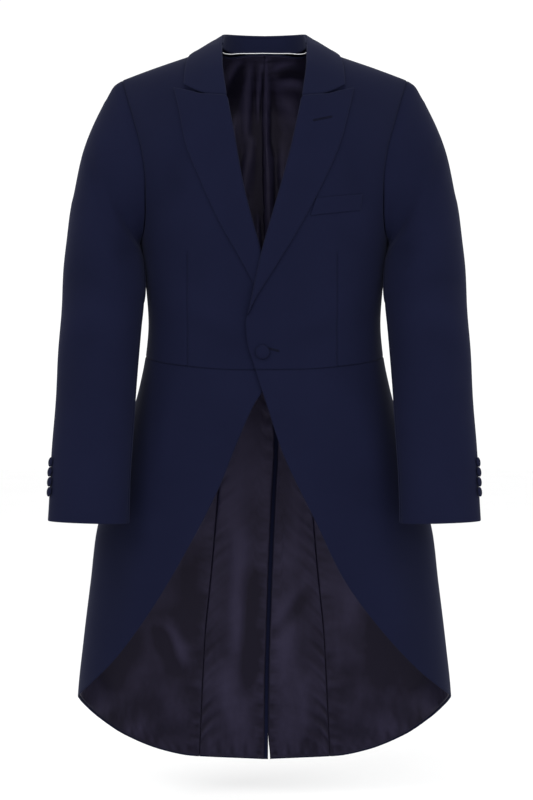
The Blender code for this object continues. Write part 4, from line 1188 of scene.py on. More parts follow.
@dataclass(frozen=True)
class Lapel:
    """Peak lapel, folded over the front at the roll line."""

    cloth: float = 2.0 * MM
    lay: float = 1.1 * MM
    roll_from: dict[Hand, float] = by_hand(0.158, 0.166)
    roll_to: dict[Hand, float] = by_hand(0.835, 0.80)
    crown: float = 3.4 * MM
    crown_width: float = 26.0 * MM
    fold_radius: float = 3.6 * MM
    turned_in: float = 9.0 * MM
    gorge_closed_to: float = 0.45
    gorge_close: float = 1.3 * MM
    fold_steps: int = 12

    def patch(self, hand: Hand, columns: Array, rows: Array) -> Patch:
        """Lapel from the roll line to its outer edge, gorge to lower end."""
        table, start = FRONT_EDGE[hand], self.roll_from[hand]
        roll = edge_line(table, start, self.roll_to[hand])
        edge = edge_line(LAPEL_EDGE[hand])
        inner, top = table.read("from_middle", start), table.read("height", start)
        peak = LAPEL_EDGE[hand].read("from_middle", 0.0)
        peak_top = LAPEL_EDGE[hand].read("height", 0.0)

        def gorge(share: Array) -> Array:
            from_middle = inner + (peak - inner) * share
            ends = (1 - share) * (top - GORGE.read("height", 0.0))
            ends = ends + share * (peak_top - GORGE.read("height", 1.0))
            closed = self.gorge_close * (1.0 - fade(share, self.gorge_closed_to - 0.1,
                                                    self.gorge_closed_to + 0.1))
            height = GORGE.read("height", share) + ends + closed
            return pair(FORM.angle_of(from_middle, height), height)

        bottom = straight_line(roll(np.ones(1))[0], edge(np.ones(1))[0])
        return Patch(gorge, bottom, roll, edge, columns, rows)

    def surface(self, hand: Hand) -> tuple[Array, Array]:
        """Middle surface from the turned-in cloth round the fold to the outer edge.

        Args:
            hand: Side of the coat.

        Returns:
            Points and outward directions.
        """
        rows = graded(0.32, 120, ends=(True, False))
        grid = self.patch(hand, np.linspace(0.0, 1.0, 60), rows).grid()
        base, normal, chart = laid(grid, 0.0, False)
        lap = FORM.lap(chart[..., 0], chart[..., 1]) * (hand is Hand.LEFT)
        run = lengths(base, 1)
        width = run[:, -1]
        radius = np.minimum(self.fold_radius, 0.33 * width)
        crown = self.crown * np.clip(width / 0.045, 0.25, 1.0)
        first = unit(base[:, 4] - base[:, 0])
        turns = np.linspace(-math.pi / 2, math.pi / 2, self.fold_steps)
        flat = self.cloth / 2 + self.lay
        top = flat + crown
        centre = top - radius
        places = [(radius + np.minimum(inside, 0.5 * width), centre - radius, -math.pi / 2)
                  for inside in (self.turned_in, self.turned_in / 2)]
        places += [(radius - radius * math.cos(turn), centre + radius * math.sin(turn), turn)
                   for turn in turns]
        for share in graded(0.06, 44, near=(0.5, 1.0, 1.7, 2.8), ends=(False, True))[1:]:
            away = radius + (width - radius) * share
            fall = crown * np.exp(-(((away - radius) / self.crown_width) ** 2))
            places.append((away, flat + fall * (1.0 - share**3), math.pi / 2))
        carried = np.concatenate((base, normal, lap[..., None]), axis=-1)
        middle = np.empty((len(rows), len(places), 3))
        outward = np.empty_like(middle)
        for column, (away, lift, turn) in enumerate(places):
            for row in range(len(rows)):
                found = np.array([np.interp(away[row], run[row], values)
                                  for values in carried[row].T])
                facing = found[3:6] / np.linalg.norm(found[3:6])
                middle[row, column] = found[:3] + facing * (lift[row] + found[6])
                outward[row, column] = facing * math.sin(turn) - first[row] * math.cos(turn)
        return middle, unit(outward)

    def build(self, hand: Hand, finish: Material) -> Array:
        """Builds and dresses one lapel.

        Args:
            hand: Side of the coat.
            finish: Coat cloth.

        Returns:
            Outer skin of the lapel, which carries its stitches.
        """
        middle, outward = self.surface(hand)
        shell = Shell(f"lapel_{hand.word}", mirrored(middle, hand), mirrored(outward, hand),
                      self.cloth, (Rim.FREE,) * 4)
        shell.finish(Slot.CLOTH, finish, f"front_{hand.word}")
        return shell.skins()[0]


@dataclass(frozen=True)
class Collar:
    """Leaf folded over the stand, with white piping inside the neck."""

    cloth: float = 2.0 * MM
    lay: float = 1.0 * MM
    steps: int = 172
    rows: int = 30
    crown: float = 1.5 * MM
    gorge_bow: float = 5.5 * MM
    gorge_bow_forward: float = 2.6 * MM
    gorge_bow_from: float = 0.8
    fold_radius: float = 2.4 * MM
    fold_steps: int = 11
    stand_ends_at: float = 0.74
    stand_set_in: float = 1.4 * MM
    stand_reach: float = 0.96
    piping_ends_at: float = 0.56
    piping_radius: float = 0.60 * MM
    piping_sunk: float = 0.1 * MM
    piping_rise: float = 1.0 * MM
    piping_drop: float = 8.0 * MM
    piping_drop_from: float = 0.20
    piping_sides: int = 12

    def line(self, prefix: str, along: Array) -> Array:
        """Crease or base of the collar at signed shares from the centre back."""
        share = np.abs(along)
        x, y, z = (COLLAR.read(f"{prefix}_{axis}", share) for axis in "xyz")
        return np.stack((np.copysign(x, along), y, z), axis=-1)

    def leaf_edge(self, along: Array) -> Array:
        """Outer edge of the leaf, resting on the shoulders."""
        share = np.abs(along)
        from_middle = COLLAR.read("edge_x", share)
        behind = COLLAR.read("side", share) > 0.0
        height = np.minimum(COLLAR.read("edge_z", share), FORM.shoulder_height(from_middle))
        front = FORM.angle_of(from_middle, height)
        base = FORM.point(np.where(behind, 180.0 - front, front), height)
        point = base + FORM.normal(base) * (self.lay + self.cloth / 2)
        point[..., 0] = np.copysign(point[..., 0], along)
        return point

    def leaf(self) -> tuple[Array, Array]:
        """Middle surface of the leaf with its fold, and its outward directions."""
        along = np.linspace(-1.0, 1.0, self.steps + 1)
        crease, edge = self.line("crease", along), self.leaf_edge(along)
        down = graded(0.06, self.rows, near=(0.6, 1.2, 2.0, 3.2), ends=(False, True))
        start = 0.06
        share = (start + (1.0 - start) * down)[:, None, None]
        leaf = crease[None] * (1 - share) + edge[None] * share
        swell = np.sin(np.pi * share[..., 0])
        leaf = leaf + FORM.normal(leaf) * (self.crown * swell)[..., None]
        bow = swell * fade(np.abs(along), self.gorge_bow_from, 1.0)[None]
        leaf[..., 1] -= self.gorge_bow_forward * bow
        leaf[..., 2] -= self.gorge_bow * bow
        outward = grid_normals(leaf)
        if float(outward[2, self.steps // 2, 1]) < 0.0:
            outward = -outward
        up = unit(leaf[0] - leaf[2])
        facing = unit(outward[0] - up * np.sum(outward[0] * up, axis=-1, keepdims=True))
        centre = leaf[0] - facing * self.fold_radius
        fold, ways = [], []
        for turn in np.linspace(math.pi * 1.12, 0.0, self.fold_steps)[:-1]:
            way = facing * math.cos(turn) + up * math.sin(turn)
            fold.append(centre + way * self.fold_radius)
            ways.append(way)
        return np.concatenate((np.array(fold), leaf)), np.concatenate((np.array(ways), outward))

    def stand(self) -> tuple[Array, Array]:
        """Middle surface of the stand inside the leaf, and the way it faces the neck."""
        along = np.linspace(-self.stand_ends_at, self.stand_ends_at, 121)
        base, crease = self.line("base", along), self.line("crease", along)
        inward = unit(base * np.array((-1.0, -1.0, 0.0)))
        up = np.linspace(0.0, self.stand_reach, 15)[:, None, None]
        hollow = np.sin(np.pi * up) * (0.8 * MM)
        middle = base * (1 - up) + crease * up + inward * (self.stand_set_in + self.cloth / 2
                                                           - hollow)
        return middle, np.broadcast_to(inward, middle.shape)

    def piping(self) -> Object:
        """White cord where the stand meets the lining, round in section."""
        along = np.linspace(-self.piping_ends_at, self.piping_ends_at, 161)
        base = self.line("base", along)
        inward = unit(base * np.array((-1.0, -1.0, 0.0)))
        path = base + inward * (self.stand_set_in + self.cloth + self.piping_radius
                                - self.piping_sunk)
        drop = self.piping_drop * fade(np.abs(along), self.piping_drop_from,
                                       self.piping_ends_at)
        path[:, 2] += self.piping_rise - drop
        return tube("neck_piping", path, self.piping_radius, self.piping_sides)

    def build(self, cloth: Material, cord: Material) -> None:
        """Builds and dresses leaf, stand and piping."""
        free = Rim.FREE
        leaf = Shell("collar_fall", *self.leaf(), self.cloth, (Rim.HIDDEN, free, free, free))
        leaf.finish(Slot.COLLAR, cloth, "front_left", "front_right")
        stand = Shell("collar_stand", *self.stand(), self.cloth, (free,) * 4)
        stand.finish(Slot.COLLAR, cloth)
        dress(self.piping(), Slot.PIPING, cord, "neck_piping")


def tube(name: str, path: Array, radius: float, sides: int) -> Object:
    """Round cord along a path, closed at both ends.

    Args:
        name: The piece's name.
        path: Points of its middle line.
        radius: Radius.
        sides: Faces round it.

    Returns:
        The object.
    """
    tangent = unit(np.gradient(path, axis=0))
    side = unit(np.cross(tangent, np.array((0.0, 0.0, 1.0))))
    rise = np.cross(side, tangent)
    turns = np.linspace(0.0, 2.0 * math.pi, sides, endpoint=False)
    shape = np.ones(len(path))
    shape[:3] = shape[-3:][::-1] = (0.45, 0.80, 0.96)
    ring = (side[:, None] * np.cos(turns)[None, :, None]
            + rise[:, None] * np.sin(turns)[None, :, None])
    points = path[:, None] + ring * (radius * shape)[:, None, None]
    index = np.arange(points.shape[0] * sides).reshape(-1, sides)
    after = np.roll(index, -1, axis=1)
    faces = np.stack((index[:-1], index[1:], after[1:], after[:-1]), axis=-1).reshape(-1, 4)
    caps = []
    for ring_index in (index[0], index[-1][::-1]):
        for step in range(1, sides - 2, 2):
            caps.append((ring_index[0], ring_index[step], ring_index[step + 1],
                         ring_index[step + 2]))
    faces = np.concatenate((faces, np.array(caps)))
    points = points.reshape(-1, 3)
    if signed_volume(points, faces) < 0.0:
        faces = faces[:, ::-1]
    run = np.concatenate(((0.0,), np.cumsum(np.linalg.norm(np.diff(path, axis=0), axis=1))))
    flat = np.stack(np.broadcast_arrays(turns[None, :] * radius, run[:, None]), axis=-1)
    return mesh_object(name, points, faces, flat.reshape(-1, 2))


@dataclass(frozen=True)
class Sleeve:
    """Two-piece sleeve, filled out by an arm that is not there."""

    cloth: float = 2.0 * MM
    settles_at: float = 0.20
    panels: BodyPanels = BodyPanels()
    front_stops: int = 11
    side_stops: int = 6
    back_stops: int = 6
    forearm_stop: int = 11
    hindarm_stop: int = -5
    runs_on: Span = (0.4, 0.9)
    cap_swell: float = 1.5 * MM
    arm_radius: float = 0.055
    arm_length: float = 0.650
    creases: tuple[Crease, ...] = folds(
        (0.15, 0.075, 0.152, 0.33, 0.02, 3.4, 0.0, 0.5),
        (0.172, 0.01, 0.172, 0.165, 0.018, 2.2, 0.0, 0.3),
        (0.172, 0.15, 0.172, 0.34, 0.018, 2.6, 0.0, 0.35),
        (-0.06, 0.13, 0.01, 0.235, 0.02, -1.6, 0.008),
        (0.02, 0.11, 0.09, 0.2, 0.018, -1.5, -0.006),
        (0.095, 0.33, 0.02, 0.385, 0.016, -1.9, 0.006),
        (0.11, 0.375, 0.035, 0.44, 0.016, 1.3, 0.006),
        (0.1, 0.415, 0.03, 0.5, 0.018, -1.6, 0.006),
        (-0.07, 0.34, -0.02, 0.42, 0.018, -1.4, -0.006),
        (0.14, 0.17, 0.11, 0.29, 0.016, -1.8, 0.004),
        (0.06, 0.52, 0.03, 0.615, 0.02, 1.0, 0.004),
        (-0.13, 0.1, -0.08, 0.21, 0.018, -1.8, 0.006),
        (-0.14, 0.3, -0.08, 0.37, 0.016, -2.0, 0.006),
        (-0.15, 0.34, -0.09, 0.43, 0.016, 1.4, 0.006),
    )

    def ring(self, fall: Array, turn: Array) -> Array:
        """Sleeve's own sections: turn 0 is outermost, 90 front, 180 innermost."""
        read = {name: SLEEVE.read(name, fall) for name in SLEEVE.columns.split()[1:]}
        angle = np.radians(turn)
        cosine, sine = np.cos(angle), np.sin(angle)
        x, z = ((read[f"outer_{axis}"] + read[f"inner_{axis}"]) / 2
                + (read[f"outer_{axis}"] - read[f"inner_{axis}"]) / 2 * cosine for axis in "xz")
        y = read["centre_y"] - read["half_depth"] * sine
        return np.stack(np.broadcast_arrays(x, y, z), axis=-1)

    def point(self, fall: Array, turn: Array) -> Array:
        """Sleeve surface, which starts as the armhole and settles to its own rings."""
        fall, turn = np.broadcast_arrays(np.asarray(fall, float), np.asarray(turn, float))
        round_turn = turn % 360.0
        height = ARMHOLE.read("height", round_turn)
        front = FORM.angle_of(ARMHOLE.read("half_width", round_turn), height)
        hole = FORM.point(np.where(round_turn > 180.0, 180.0 - front, front), height)
        share = (1.0 - fade(fall, 0.0, self.settles_at))[..., None]
        return self.ring(fall, turn) + (hole - self.ring(np.zeros_like(fall), turn)) * share

    def normal(self, fall: Array, turn: Array) -> Array:
        """Outward directions of the sleeve."""
        down = (self.point(np.minimum(1.0, fall + 0.01), turn)
                - self.point(np.maximum(0.0, fall - 0.01), turn))
        around = self.point(fall, turn + 1.0) - self.point(fall, turn - 1.0)
        return unit(np.cross(around, down))

    def turns(self, under: bool) -> Span:
        """Turns of the panel's two seams at the armhole, hindarm seam first on the top."""
        ease, panels = self.panels.shoulder_ease, self.panels
        back = 360.0 - panels.back_turn
        stops = [panels.side_turn * (step / self.front_stops) ** ease
                 for step in range(self.front_stops + 1)]
        stops += [panels.side_turn + (panels.back_turn - panels.side_turn) * step
                  / self.side_stops for step in range(1, self.side_stops + 1)]
        stops += [360.0 - back * (step / self.back_stops) ** ease
                  for step in range(self.back_stops - 1, -1, -1)]
        hindarm, forearm = stops[len(stops) - 1 + self.hindarm_stop], stops[self.forearm_stop]
        return (forearm, hindarm) if under else (hindarm - 360.0, forearm)

    def panel(self, name: str, under: bool, hand: Hand) -> Shell:
        """Shell between the forearm seam and the hindarm seam."""
        start, end = self.turns(under)
        hindarm, forearm = (end, start) if under else (start, end)
        shares = graded(0.17, 50 if under else 64)
        at_armhole = start + (end - start) * shares
        fall = graded(0.64, 150) ** 1.15
        twist = HINDARM_TWIST.read("turn", fall)[:, None]
        turn = at_armhole[None, :] + twist * (at_armhole[None, :] - forearm) / (hindarm - forearm)
        falls = np.broadcast_to(fall[:, None], turn.shape)
        points, normals = self.point(falls, turn), self.normal(falls, turn)
        body = FORM.normal(points[0])
        share = fade(np.sum(normals[0] * body, axis=-1), *self.runs_on)[:, None]
        near = np.exp(-((fall / 0.010) ** 2))[:, None, None]
        normals = unit(normals * (1 - share * near) + body[None] * share * near)
        chart = np.stack((np.radians(turn) * self.arm_radius, falls * self.arm_length), axis=-1)
        raised = creased(chart, self.creases) + ripple(chart, 71, 0.12, 0.40 * MM)
        away = lengths(points, 0)
        over = 0.5 + 0.5 * np.cos(np.radians(turn))
        raised = raised * fade(away, 0.0, 0.012)
        raised = raised + self.cap_swell * over * np.exp(-(((away - 0.012) / 0.009) ** 2))
        middle = points - normals * (self.cloth / 2)
        return Shell(name, mirrored(middle, hand), mirrored(normals, hand), self.cloth,
                     (Rim.SEAM, Rim.FREE, Rim.SEAM, Rim.SEAM), raised=raised)

    def build(self, hand: Hand, finish: Material) -> None:
        """Builds and dresses both panels of one sleeve."""
        for word, under in (("top", False), ("under", True)):
            self.panel(f"sleeve_{word}_{hand.word}", under, hand).finish(Slot.CLOTH, finish)


@dataclass(frozen=True)
class Welt:
    """Slanted welt of the breast pocket, on the wearer's left front."""

    cloth: float = 1.5 * MM
    lay: float = 0.3 * MM
    top: tuple[Span, ...] = ((0.0709, -0.2171), (0.1361, -0.2090))
    bottom: tuple[Span, ...] = ((0.0629, -0.2413), (0.1325, -0.2317))

    def build(self, finish: Material) -> None:
        """Builds and dresses the welt."""
        across = graded(0.066, 40, near=(0.5, 1.0, 1.7, 2.8))[None, :, None]
        down = graded(0.024, 16, near=(0.5, 1.0, 1.7, 2.8))[:, None, None]
        top, bottom = np.array(self.top), np.array(self.bottom)
        flat = ((top[0] * (1 - across) + top[1] * across) * (1 - down)
                + (bottom[0] * (1 - across) + bottom[1] * across) * down)
        grid = pair(FORM.angle_of(flat[..., 0], flat[..., 1]), flat[..., 1])
        middle, outward, _ = laid(grid, self.lay + self.cloth / 2, True)
        Shell("breast_welt", middle, outward, self.cloth, (Rim.FREE,) * 4).finish(
            Slot.CLOTH, finish, "front_left")


@dataclass(frozen=True)
class CoveredButton:
    """Button covered in the coat's cloth: a dome drawn tight over a rim, on a short shank."""

    diameter: float
    thickness: float
    segments: int = 48
    uneven: float = 0.006
    profile: tuple[Span, ...] = (
        (0.00, -0.50), (0.12, -0.50), (0.17, -0.46), (0.18, -0.32), (0.40, -0.28),
        (0.70, -0.26), (0.88, -0.20), (0.97, -0.10), (1.00, 0.02), (0.98, 0.12),
        (0.92, 0.20), (0.84, 0.27), (0.70, 0.35), (0.52, 0.42), (0.32, 0.47),
        (0.14, 0.495), (0.00, 0.50))

    def build(self, name: str, outward: Vector, finish: Material) -> None:
        """Builds the button where its CAD solid is.

        Args:
            name: Name of the button and of its node.
            outward: The way it faces.
            finish: Cloth of the cover.
        """
        low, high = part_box(name)
        seat = (low + high) / 2
        shape = bmesh.new()
        frame_of = outward.to_track_quat("Z", "Y").to_matrix()
        rings = []
        for radius, height in self.profile:
            ring = []
            for step in range(self.segments if radius else 1):
                turn = 2.0 * math.pi * step / self.segments
                out = radius * self.diameter / 2 * (1.0 + self.uneven * math.sin(5 * turn))
                place = (out * math.cos(turn), out * math.sin(turn), height * self.thickness)
                ring.append(shape.verts.new(frame_of @ Vector(place) + seat))
            rings.append(ring if radius else ring * self.segments)
        for inner, outer in zip(rings, rings[1:]):
            for step in range(self.segments):
                after = (step + 1) % self.segments
                corners = (inner[step], inner[after], outer[after], outer[step])
                shape.faces.new(list(dict.fromkeys(corners)))
        bmesh.ops.recalc_face_normals(shape, faces=shape.faces)
        layer = shape.loops.layers.uv.new(UV_NAME)
        back = frame_of.transposed()
        for face in shape.faces:
            face.smooth = True
            for loop in face.loops:
                place = back @ (loop.vert.co - seat)
                loop[layer].uv = (place.x, place.y)
        mesh = bpy.data.meshes.new(name)
        shape.to_mesh(mesh)
        shape.free()
        dress(placed(name, mesh), Slot.BUTTON, finish, name)


class Shading:
    """A material's nodes, built up from its shader."""

    def __init__(self, name: str) -> None:
        """Makes an empty material with one shader."""
        self.material = bpy.data.materials.new(name)
        self.material.use_nodes = True
        self.tree = self.material.node_tree
        self.shader = self.tree.nodes["Principled BSDF"]
        self.place = self.add("ShaderNodeTexCoord")

    def add(self, kind: str, **values: float) -> bpy.types.Node:
        """New node of a kind, with some of its inputs set by name."""
        made = self.tree.nodes.new(kind)
        for name, value in values.items():
            made.inputs[name.replace("_", " ")].default_value = value
        return made

    def join(self, source: Socket, target: Socket) -> None:
        """Links two sockets."""
        self.tree.links.new(source, target)

    def constant(self, **values: float) -> None:
        """Sets the shader's own sockets."""
        for name, value in values.items():
            self.shader.inputs[name.replace("_", " ")].default_value = value

    def bands(self, period: float, turn: float, bend: float = 0.0) -> Socket:
        """Fine ribs along the cloth.

        Args:
            period: Distance between ribs in metres.
            turn: Direction in degrees.
            bend: How much they wander.

        Returns:
            Socket with a value from 0 to 1.
        """
        mapping = self.add("ShaderNodeMapping")
        mapping.inputs["Rotation"].default_value = (0.0, 0.0, math.radians(turn))
        self.join(self.place.outputs["UV"], mapping.inputs["Vector"])
        wave = self.add("ShaderNodeTexWave", Scale=0.3142 / period, Distortion=bend,
                        Detail=1.0, Detail_Scale=1.5)
        self.join(mapping.outputs["Vector"], wave.inputs["Vector"])
        return wave.outputs["Fac"]

    def attribute(self, name: str) -> Socket:
        """Value that the mesh carries."""
        made = self.tree.nodes.new("ShaderNodeAttribute")
        made.attribute_name = name
        return made.outputs["Fac"]

    def noise(self, scale: float, detail: float = 3.0,
              stretch: Sequence[float] = (1.0, 1.0, 1.0)) -> Socket:
        """Cloudy value on object coordinates.

        Args:
            scale: Number of clouds in a metre.
            detail: Finer layers.
            stretch: Scale along each axis.

        Returns:
            Socket with a value from 0 to 1.
        """
        mapping = self.add("ShaderNodeMapping")
        mapping.inputs["Scale"].default_value = stretch
        self.join(self.place.outputs["Object"], mapping.inputs["Vector"])
        clouds = self.add("ShaderNodeTexNoise", Scale=scale, Detail=detail, Roughness=0.55)
        self.join(mapping.outputs["Vector"], clouds.inputs["Vector"])
        return clouds.outputs["Fac"]

    def joined(self, kind: str, first: Socket, second: Socket | float) -> Socket:
        """Sum or product of a value and another value or a number."""
        made = self.tree.nodes.new("ShaderNodeMath")
        made.operation = kind
        self.join(first, made.inputs[0])
        if isinstance(second, float):
            made.inputs[1].default_value = second
        else:
            self.join(second, made.inputs[1])
        return made.outputs[0]

    def total(self, *parts: tuple[Socket, float]) -> Socket:
        """Sum of values, each times its share."""
        shares = [self.joined("MULTIPLY", source, share) for source, share in parts]
        made = shares[0]
        for share in shares[1:]:
            made = self.joined("ADD", made, share)
        return made

    def tones(self, value: Socket, dark: Sequence[float],
              light: Sequence[float], middle: Span = (0.30, 0.70)) -> None:
        """Base colour that runs between two tones with a value."""
        ramp = self.tree.nodes.new("ShaderNodeValToRGB")
        ramp.color_ramp.elements[0].position = middle[0]
        ramp.color_ramp.elements[1].position = middle[1]
        ramp.color_ramp.elements[0].color = (*dark, 1.0)
        ramp.color_ramp.elements[1].color = (*light, 1.0)
        self.join(value, ramp.inputs["Fac"])
        self.join(ramp.outputs["Color"], self.shader.inputs["Base Color"])

    def relief(self, height: Socket, depth: float, strength: float) -> None:
        """Fine relief of the surface from a height value."""
        bump = self.add("ShaderNodeBump", Strength=strength, Distance=depth)
        self.join(height, bump.inputs["Height"])
        self.join(bump.outputs["Normal"], self.shader.inputs["Normal"])


@dataclass(frozen=True)
class Worsted:
    """Fine worsted wool with a close twill."""

    name: str
    dark: Tone
    light: Tone
    roughness: float = 0.88
    gloss: float = 0.07
    nap: float = 0.032
    nap_tint: Tone = (0.55, 0.60, 1.0)
    twill: float = 0.85 * MM
    yarn: float = 0.42 * MM

    def make(self) -> Material:
        """The material."""
        shading = Shading(self.name)
        shading.constant(Roughness=self.roughness, Specular_IOR_Level=self.gloss,
                         Sheen_Weight=self.nap, Sheen_Roughness=0.45,
                         Sheen_Tint=(*self.nap_tint, 1.0))
        twill = shading.bands(self.twill, 58.0, 0.25)
        yarn = shading.joined("MULTIPLY", shading.bands(self.yarn, 0.0, 0.3),
                              shading.bands(self.yarn, 90.0, 0.3))
        fleck = shading.noise(900.0, 2.0)
        # Base tone: random clouds, flecks and twill, darker along seams (the seam's own line and
        # painted shade in its groove), painted shade in troughs and painted light on ridges from
        # the fold height, and the mesh's painted shade
        tone = shading.total((shading.noise(9.0, 4.0), 0.62), (fleck, 0.20), (twill, 0.16),
                             (shading.attribute(SEWN), -0.55),
                             (shading.attribute(RELIEF), 0.25), (shading.attribute(SHADE), 1.0))
        shading.tones(tone, self.dark, self.light, (0.10, 0.75))
        shading.relief(shading.total((twill, 0.5), (yarn, 0.5), (fleck, 0.35)), 0.16 * MM, 0.30)
        return shading.material


@dataclass(frozen=True)
class Satin:
    """Smooth lining satin with a soft sheen and faint creasing."""

    name: str
    dark: Tone
    light: Tone
    roughness: float = 0.40
    gloss: float = 0.13
    gloss_tint: Tone = (0.80, 0.72, 1.0)
    thread: float = 0.30 * MM
    crush: float = 1.3 * MM

    def make(self) -> Material:
        """The material."""
        shading = Shading(self.name)
        shading.constant(Roughness=self.roughness, Specular_IOR_Level=self.gloss,
                         Specular_Tint=(*self.gloss_tint, 1.0), Sheen_Weight=0.05,
                         Sheen_Roughness=0.35, Sheen_Tint=(*self.gloss_tint, 1.0))
        threads = shading.bands(self.thread, 0.0, 0.4)
        crush = shading.noise(16.0, 4.0, (1.0, 1.0, 0.5))
        fine = shading.noise(95.0, 2.0, (1.0, 1.0, 0.6))
        # Base tone: lighter where the crush and fine noise raise the bump (painted sheen), darker
        # along seams (the seam's own line and painted shade in its groove), painted shade in
        # troughs and painted light on ridges from the fold height, and the mesh's painted shade
        tone = shading.total((crush, 0.75), (fine, 0.25), (shading.attribute(SEWN), -0.5),
                             (shading.attribute(RELIEF), 0.62), (shading.attribute(SHADE), 1.0))
        shading.tones(tone, self.dark, self.light, (0.12, 0.92))
        shading.relief(shading.total((crush, 1.0), (fine, 0.16), (threads, 0.03)),
                       self.crush, 0.55)
        return shading.material


@dataclass(frozen=True)
class Cord:
    """White cord wound in satin."""

    name: str = "white_cord"
    dark: Tone = (0.70, 0.70, 0.74)
    light: Tone = (0.88, 0.88, 0.90)
    lay: float = 1.1 * MM

    def make(self) -> Material:
        """The material."""
        shading = Shading(self.name)
        shading.constant(Roughness=0.55, Specular_IOR_Level=0.35, Sheen_Weight=0.1)
        twist = shading.bands(self.lay, 52.0)
        # Darker in the grooves of the twist: painted shade
        shading.tones(twist, self.dark, self.light, (0.1, 0.6))
        shading.relief(twist, 0.25 * MM, 0.6)
        return shading.material


@dataclass(frozen=True)
class SewingThread:
    """Twisted silk thread a shade off the cloth."""

    name: str
    dark: Tone
    light: Tone

    def make(self) -> Material:
        """The material."""
        shading = Shading(self.name)
        shading.constant(Roughness=0.8, Specular_IOR_Level=0.06, Sheen_Weight=0.02)
        grain = shading.noise(2400.0, 2.0)
        shading.tones(grain, self.dark, self.light)
        shading.relief(grain, 0.08 * MM, 0.4)
        return shading.material


@dataclass(frozen=True)
class Stitches:
    """Threads set at an even pitch along paths by one geometry node tree."""

    pitch: float
    length: float
    radius: float
    across: bool = False
    seed: int = 5
    uneven: float = 0.18

    def tree(self) -> bpy.types.GeometryNodeTree:
        """Node tree: path, points at the pitch, a thread on each, realised and dressed."""
        group = bpy.data.node_groups.new("thread_row", "GeometryNodeTree")
        for name, kind in (("Path", "Geometry"), ("Pitch", "Float"), ("Length", "Float"),
                           ("Radius", "Float"), ("Across", "Bool"), ("Facing", "Vector"),
                           ("Uneven", "Float"), ("Seed", "Int"), ("Finish", "Material")):
            group.interface.new_socket(name=name, in_out="INPUT",
                                       socket_type="NodeSocket" + kind)
        group.interface.new_socket(name="Threads", in_out="OUTPUT",
                                   socket_type="NodeSocketGeometry")
        nodes = {word: group.nodes.new(kind) for word, kind in (
            ("given", "NodeGroupInput"), ("curve", "GeometryNodeMeshToCurve"),
            ("points", "GeometryNodeCurveToPoints"), ("cross", "ShaderNodeVectorMath"),
            ("way", "GeometryNodeSwitch"), ("align", "FunctionNodeAlignRotationToVector"),
            ("ball", "GeometryNodeMeshIcoSphere"), ("half", "ShaderNodeMath"),
            ("size", "ShaderNodeCombineXYZ"), ("thread", "GeometryNodeTransform"),
            ("smooth", "GeometryNodeSetShadeSmooth"), ("least", "ShaderNodeMath"),
            ("chance", "FunctionNodeRandomValue"), ("place", "GeometryNodeInstanceOnPoints"),
            ("real", "GeometryNodeRealizeInstances"), ("dressed", "GeometryNodeSetMaterial"),
            ("result", "NodeGroupOutput"))}
        for word, option, value in (
                ("points", "mode", "LENGTH"), ("cross", "operation", "CROSS_PRODUCT"),
                ("way", "input_type", "VECTOR"), ("align", "axis", "Z"),
                ("half", "operation", "MULTIPLY"), ("least", "operation", "SUBTRACT"),
                ("chance", "data_type", "FLOAT")):
            setattr(nodes[word], option, value)
        for word, socket, value in (
                ("ball", "Radius", 1.0), ("ball", "Subdivisions", 2), ("half", 1, 0.5),
                ("least", 0, 1.0), ("chance", 3, 1.0)):
            nodes[word].inputs[socket].default_value = value
        for source, outlet, target, inlet in (
                ("given", "Path", "curve", "Mesh"), ("curve", "Curve", "points", "Curve"),
                ("given", "Pitch", "points", "Length"), ("points", "Tangent", "cross", 0),
                ("given", "Facing", "cross", 1), ("given", "Across", "way", "Switch"),
                ("points", "Tangent", "way", "False"), ("cross", "Vector", "way", "True"),
                ("way", "Output", "align", "Vector"), ("given", "Length", "half", 0),
                ("given", "Radius", "size", "X"), ("given", "Radius", "size", "Y"),
                ("half", 0, "size", "Z"), ("ball", "Mesh", "thread", "Geometry"),
                ("size", "Vector", "thread", "Scale"),
                ("thread", "Geometry", "smooth", "Geometry"), ("given", "Uneven", "least", 1),
                ("least", 0, "chance", 2), ("given", "Seed", "chance", "Seed"),
                ("points", "Points", "place", "Points"),
                ("smooth", "Geometry", "place", "Instance"),
                ("align", "Rotation", "place", "Rotation"), ("chance", 1, "place", "Scale"),
                ("place", "Instances", "real", "Geometry"),
                ("real", "Geometry", "dressed", "Geometry"),
                ("given", "Finish", "dressed", "Material"),
                ("dressed", "Geometry", "result", "Threads")):
            group.links.new(nodes[source].outputs[outlet], nodes[target].inputs[inlet])
        return group

    def sew(self, name: str, path: Array, facing: Array, finish: Material) -> None:
        """Sews one piece of thread.

        Args:
            name: The piece's name.
            path: Points of its path.
            facing: Direction that the cloth faces, for threads laid across.
            finish: Thread.
        """
        mesh = bpy.data.meshes.new(name + "_path")
        mesh.from_pydata([tuple(point) for point in path],
                         [(step, step + 1) for step in range(len(path) - 1)], [])
        guide = placed(name + "_path", mesh)
        modifier = guide.modifiers.new("threads", "NODES")
        modifier.node_group = self.tree()
        ids = {item.name: item.identifier for item in modifier.node_group.interface.items_tree
               if item.in_out == "INPUT"}
        values = {"Pitch": self.pitch, "Length": self.length, "Radius": self.radius,
                  "Across": self.across, "Facing": tuple(float(v) for v in facing),
                  "Uneven": self.uneven, "Seed": self.seed, "Finish": finish}
        for key, value in values.items():
            modifier[ids[key]] = value
        evaluated = guide.evaluated_get(bpy.context.evaluated_depsgraph_get())
        made = bpy.data.meshes.new_from_object(evaluated)
        guide.modifiers.remove(modifier)
        bpy.data.objects.remove(guide)
        bpy.data.meshes.remove(mesh)
        made.name = name
        dress(placed(name, made), Slot.CLOTH, finish)


